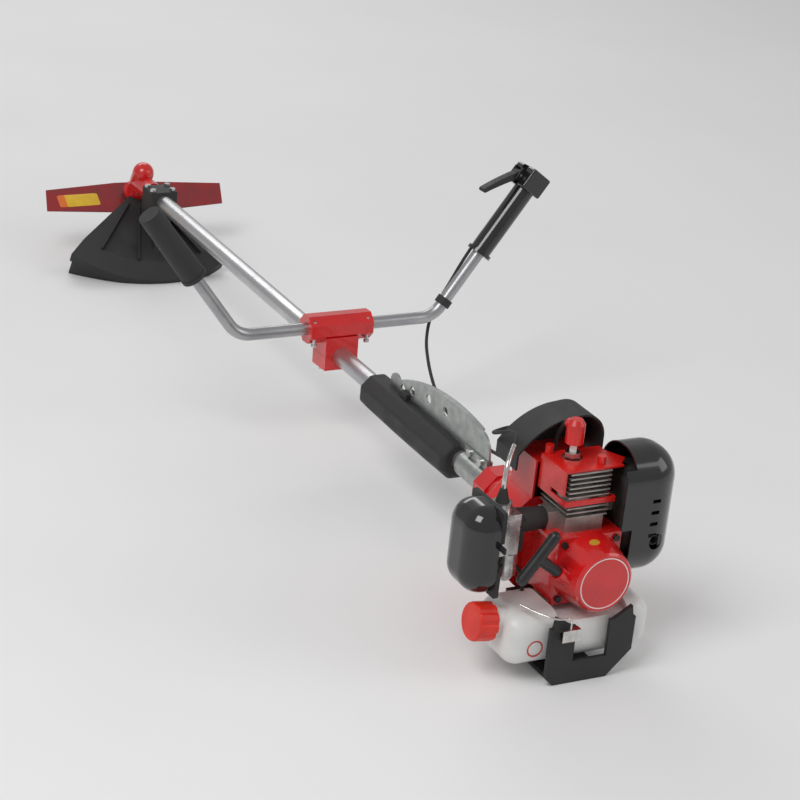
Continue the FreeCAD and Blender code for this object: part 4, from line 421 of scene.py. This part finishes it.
# %% [markdown]
# The screws are one group in the frame, but those of the starter cover are blackened.  They lie
# behind every other screw, so the height of a simple ramp along Y is enough to tell them apart.

# %% Screws
screws = Finish("screws", (0.70, 0.69, 0.67), (0.52, 0.51, 0.50), rough=(0.18, 0.32), blotch_scale=120,
                grain_scale=900, grain_depth=0.00004, Metallic=0.95)
BLACK_UP_TO = 20 * MM
at_starter = screws.spread(screws.coordinate("Y"), 1.0, 0.0, BLACK_UP_TO, BLACK_UP_TO + 1 * MM)
screws.repaint(at_starter, (0.03, 0.03, 0.03), 0.4, 0.5)
cover(screws, "screws_and_bolts")

# %% [markdown]
# ## Black plastics and rubber
# Three blacks sit side by side on the machine, and only their surfaces tell them apart.  The engine
# covers are mirror gloss, the hood, guard and stand are textured from their mould, and the grips and
# cable sheath are dull rubber.

# %% Blacks
black_gloss = Finish("black_gloss", (0.010, 0.010, 0.011), (0.016, 0.016, 0.018),
                     rough=(0.07, 0.16), blotch_scale=9,
                     grain_scale=260, grain_depth=0.00003, Coat_Weight=0.5, Coat_Roughness=0.03)
cover(black_gloss, "muffler_cover", "air_cleaner_cover", "throttle_housing", "stop_switch", "right_grip")

black_matte = Finish("black_matte", (0.014, 0.014, 0.015), (0.026, 0.026, 0.027),
                     rough=(0.48, 0.66), blotch_scale=22,
                     grain_scale=1300, grain_depth=0.00025)
cover(black_matte, "top_hood", "guard", "guard_flap", "guard_bracket", "tank_stand", "air_filter_plate",
      "plastic_clips", "starter_pulley", "choke_lever", "throttle_trigger")

black_satin = Finish("black_satin", (0.012, 0.012, 0.013), (0.020, 0.020, 0.021),
                     rough=(0.26, 0.40), blotch_scale=30,
                     grain_scale=900, grain_depth=0.00010)
cover(black_satin, "pull_handle")

rubber = Finish("rubber", (0.018, 0.018, 0.018), (0.030, 0.029, 0.028), rough=(0.55, 0.75), blotch_scale=40,
                grain_scale=1700, grain_depth=0.00020)
cover(rubber, "left_grip", "throttle_cable", "fuel_hose", "intake_insulator", "shaft_bushes", "ignition_coil",
      "air_filter_foam")

hot_black = Finish("hot_black", (0.030, 0.028, 0.027), (0.055, 0.050, 0.046),
                   rough=(0.50, 0.72), blotch_scale=70,
                   grain_scale=1200, grain_depth=0.00020, Metallic=0.3)
cover(hot_black, "muffler")

# %% [markdown]
# ## Plastics with colour, and the tank
# The plug cap, the cylinder's cowl and the fuel cap are moulded in red.  The tank is blown in milky
# polythene: light goes a few millimetres in and comes out again, which subsurface scattering gives.

# %% Coloured plastics
red_plastic = Finish("red_plastic", (0.72, 0.014, 0.010), (0.58, 0.010, 0.008),
                     rough=(0.24, 0.36), blotch_scale=30,
                     grain_scale=700, grain_depth=0.00008, Coat_Weight=0.25, Coat_Roughness=0.15)
cover(red_plastic, "cylinder_shroud", "spark_plug_cap")

cap_plastic = Finish("cap_plastic", (0.78, 0.030, 0.012), (0.66, 0.020, 0.010),
                     rough=(0.34, 0.46), blotch_scale=40,
                     grain_scale=900, grain_depth=0.00012)
cover(cap_plastic, "fuel_cap")

milky = Finish("milky_polythene", (0.80, 0.80, 0.78), (0.72, 0.72, 0.70),
               rough=(0.26, 0.38), blotch_scale=14,
               grain_scale=500, grain_depth=0.00008, Subsurface_Weight=0.3, Subsurface_Scale=0.006,
               Subsurface_Radius=(1.0, 0.95, 0.9))
cover(milky, "fuel_tank", "primer_bulb")

# %% [markdown]
# ## Spark plug
# One part, two materials: a plated steel shell with a hexagon, and the glazed white insulator above
# it.  Height alone separates them.

# %% Spark plug
plug_top = box_of("spark_plug")[1][2]
HEX_TOP = plug_top - 21 * MM
spark_plug = Finish("spark_plug", (0.66, 0.64, 0.60), (0.50, 0.48, 0.46),
                    rough=(0.18, 0.30), blotch_scale=90,
                    grain_scale=900, grain_depth=0.00003, Metallic=1.0)
glazed = spark_plug.spread(spark_plug.coordinate("Z"), 0.0, 1.0, HEX_TOP, HEX_TOP + 0.2 * MM)
spark_plug.repaint(glazed, (0.88, 0.87, 0.84), 0.12, 0.0)
cover(spark_plug, "spark_plug")

# %% [markdown]
# ## Hip pad
# The pad that rests against the operator's leg is a block of skinned foam slid onto the shaft, with
# eight soft sides.  A cloth simulation could swell it, but foam keeps its moulded form, so a formula
# serves better.  A round shape whose radius follows a high power of eight directions is an octagon
# with rounded edges, and a slight swell between the ends crowns it.

# %% Hip pad
def hip_pad():
    """Radius = apothem / (sum of |cos(angle - side)| ** p) ** (1 / p), with p large for flat sides.
    Along the pad the radius falls away at both ends like a quarter circle."""
    low, high = box_of("hip_pad")
    middle, half = (low + high) / 2, (high - low) / 2
    sides = np.arange(8) * np.pi / 4
    angle = np.linspace(0, 2 * np.pi, 96, endpoint=False)
    power = 34.0
    cosine = np.clip(np.cos(angle[:, None] - sides), 0, None)
    octagon = 1.0 / (cosine ** power).sum(1) ** (1 / power)
    step = np.linspace(0, 1, 73)
    along = np.sin((step - 0.5) * np.pi)
    end_round = 9 * MM
    from_end = (1 - np.abs(along)) * half[1]
    falling = np.clip(1 - from_end / end_round, 0, 1)
    shrink = end_round * (1 - np.sqrt(np.clip(1 - falling ** 2, 0, 1)))
    crown = 1.2 * MM * np.cos(along * np.pi / 2)
    fullness = 1.6 * MM
    radius = (half[0] + fullness) * octagon[None] + (crown - shrink)[:, None]
    points = np.empty((len(step), len(angle), 3))
    points[..., 0] = middle[0] + radius * np.cos(angle)
    points[..., 1] = middle[1] + along[:, None] * half[1]
    points[..., 2] = middle[2] + radius * np.sin(angle)
    return skin("hip_pad_foam", points, sharp_degrees=80)


pad = hip_pad()
foam_skin = Finish("foam_skin", (0.012, 0.012, 0.013), (0.022, 0.022, 0.023),
                   rough=(0.42, 0.62), blotch_scale=30,
                   grain_scale=1500, grain_depth=0.00035)
pad.data.materials.append(foam_skin.material)
cover(foam_skin, "hip_pad")
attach(pad, "machine")
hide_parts("hip_pad")

# %% [markdown]
# ## Stickers
# Two printed vinyl stickers are thick enough to catch the light at their edges, so they are thin
# pieces: a plain red ring on the tank, and a yellow and orange strip on one arm of the blade.  A
# sticker is a flat ribbon with a wall, and it lies a tenth of a millimetre above what it is stuck to.

# %% Tank ring
tank_low = box_of("fuel_tank")[0]
RING_AT = np.array([-84 * MM, tank_low[1], tank_low[2] + 28 * MM])
ring_sticker = turned("tank_ring_sticker", RING_AT, (0, -1, 0), [
    (-0.3 * MM, 9.3 * MM), (0.10 * MM, 9.3 * MM), (0.14 * MM, 9.5 * MM), (0.14 * MM, 11.3 * MM),
    (0.10 * MM, 11.5 * MM), (-0.3 * MM, 11.5 * MM), (-0.3 * MM, 9.3 * MM)], around=72)
ring_vinyl = Finish("ring_vinyl", (0.62, 0.05, 0.04), (0.50, 0.04, 0.03),
                    rough=(0.35, 0.5), blotch_scale=80)
ring_sticker.data.materials.append(ring_vinyl.material)
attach(ring_sticker, "machine")

# %% [markdown]
# The blade's strip is a rounded rectangle on one arm, on the face that looks up at the gear head.  Its
# outline is a superellipse, |x / a| ** p + |y / b| ** p = 1, whose high power keeps the sides straight
# and rounds only the corners.  An orange band crosses the yellow near the blade's tip.

# %% Blade strip
STRIP_MIDDLE, STRIP_HALF, STRIP_HALF_WIDTH = -108 * MM, 38 * MM, 14 * MM
blade_points = np.empty(len(nodes["blade"].data.vertices) * 3)
nodes["blade"].data.vertices.foreach_get("co", blade_points)
blade_up = blade_axis if blade_axis[2] > 0 else -blade_axis
blade_top = ((blade_points.reshape(-1, 3) - head_origin) @ blade_up).max()


def blade_strip():
    """A thin plate: the outline at scale k and height h over the blade's upper face, for each (k, h)."""
    angle = np.linspace(0, 2 * np.pi, 96, endpoint=False)
    power = 2 / 14
    outline_x = np.sign(np.cos(angle)) * np.abs(np.cos(angle)) ** power * STRIP_HALF
    outline_y = np.sign(np.sin(angle)) * np.abs(np.sin(angle)) ** power * STRIP_HALF_WIDTH
    levels = ((0.0, -0.2), (1.0, -0.2), (1.0, 0.10), (0.985, 0.14), (0.0, 0.14))
    ahead = np.cross(blade_up, head_side)
    points = np.array([head_origin + head_side * STRIP_MIDDLE + blade_up * (blade_top + height * MM)
                       + scale * (outline_x[:, None] * head_side + outline_y[:, None] * ahead)
                       for scale, height in levels])
    return skin("blade_strip_sticker", points, sharp_degrees=30)


strip = blade_strip()
strip_vinyl = Finish("strip_vinyl", (0.78, 0.50, 0.03), (0.70, 0.43, 0.02),
                     rough=(0.3, 0.42), blotch_scale=60)
BAND_END = STRIP_MIDDLE - 24 * MM
band = strip_vinyl.spread(strip_vinyl.coordinate("X"), 1.0, 0.0, BAND_END, BAND_END + 0.5 * MM)
strip_vinyl.repaint(band, (0.72, 0.16, 0.02))
strip.data.materials.append(strip_vinyl.material)
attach(strip, "blade_spindle")

# %% [markdown]
# ## Floor, light and camera
# A pale floor, one large soft light from the upper left, a weaker one from the right and a surround
# that the camera sees white but that lights the parts at less than half of that: gloss black stays deep
# and long soft highlights show its shape.

# %% Studio
floor_mesh = bpy.data.meshes.new("floor")
FLOOR_HALF = 30.0
floor_corners = [(x * FLOOR_HALF, y * FLOOR_HALF, 0.0) for x, y in ((-1, -1), (1, -1), (1, 1), (-1, 1))]
floor_mesh.from_pydata(floor_corners, [], [(0, 1, 2, 3)])
floor = bpy.data.objects.new("floor", floor_mesh)
bpy.context.scene.collection.objects.link(floor)
floor.location.z = -0.0005
pale = Finish("pale_floor", (0.86, 0.86, 0.86), (0.84, 0.84, 0.84), rough=(0.7, 0.8), blotch_scale=2)
floor_mesh.materials.append(pale.material)


def soft_light(name, place, target, size, power):
    """An area light that faces a point."""
    data = bpy.data.lights.new(name, "AREA")
    data.shape = "RECTANGLE"
    data.size, data.size_y = size
    data.energy = power
    lamp = bpy.data.objects.new(name, data)
    bpy.context.scene.collection.objects.link(lamp)
    lamp.location = place
    lamp.rotation_mode = "QUATERNION"
    lamp.rotation_quaternion = (Vector(target) - Vector(place)).to_track_quat("-Z", "Y")
    return lamp


soft_light("key", (-2.2, -0.6, 3.2), (0.0, 0.5, 0.1), (1.8, 1.8), 62)
soft_light("fill", (2.8, -1.6, 2.0), (0.0, 0.6, 0.1), (2.0, 2.0), 20)
soft_light("back", (0.5, 4.2, 2.6), (0.0, 0.8, 0.1), (3.0, 1.2), 34)
world = bpy.data.worlds.new("studio")
world.use_nodes = True
surround = world.node_tree.nodes["Background"]
surround.inputs["Color"].default_value = (1.0, 1.0, 1.0, 1.0)
seen_by = world.node_tree.nodes.new("ShaderNodeLightPath")
strength = world.node_tree.nodes.new("ShaderNodeMapRange")
strength.inputs["To Min"].default_value = 0.42
strength.inputs["To Max"].default_value = 1.0
world.node_tree.links.new(seen_by.outputs["Is Camera Ray"], strength.inputs["Value"])
world.node_tree.links.new(strength.outputs["Result"], surround.inputs["Strength"])
bpy.context.scene.world = world
bpy.context.scene.view_settings.view_transform = "Standard"

# %% [markdown]
# ## Camera
# The camera stands behind the engine, to the operator's left, and looks down along the shaft.  Its
# three directions are written out as unit vectors, because together they also hold its slight roll.

# %% Camera
CAMERA_AT = Vector((-1.494444, -2.159855, 1.435763))
LOOKING = Vector((0.45062774, 0.80312358, -0.38977834))
SENSOR_MM, LENS_MM = 36.0, 103.63
ROLL_RIGHT = Vector((0.88696893, -0.45224341, 0.09360565))
ROLL_UP = Vector((0.10109778, 0.38790258, 0.91613909))
camera_data = bpy.data.cameras.new("camera")
camera_data.sensor_width = SENSOR_MM
camera_data.lens = LENS_MM
camera = bpy.data.objects.new("camera", camera_data)
bpy.context.scene.collection.objects.link(camera)
turn = Matrix((ROLL_RIGHT, ROLL_UP, -LOOKING)).transposed()
camera.matrix_world = Matrix.Translation(CAMERA_AT) @ turn.to_4x4()
bpy.context.scene.camera = camera
print("camera looks down by", round(math.degrees(math.asin(-LOOKING.z)), 1), "degrees")

# %% [markdown]
# ## Last step
# The view layer is brought up to date and the script is done.

# %% Finish
bpy.context.view_layer.update()
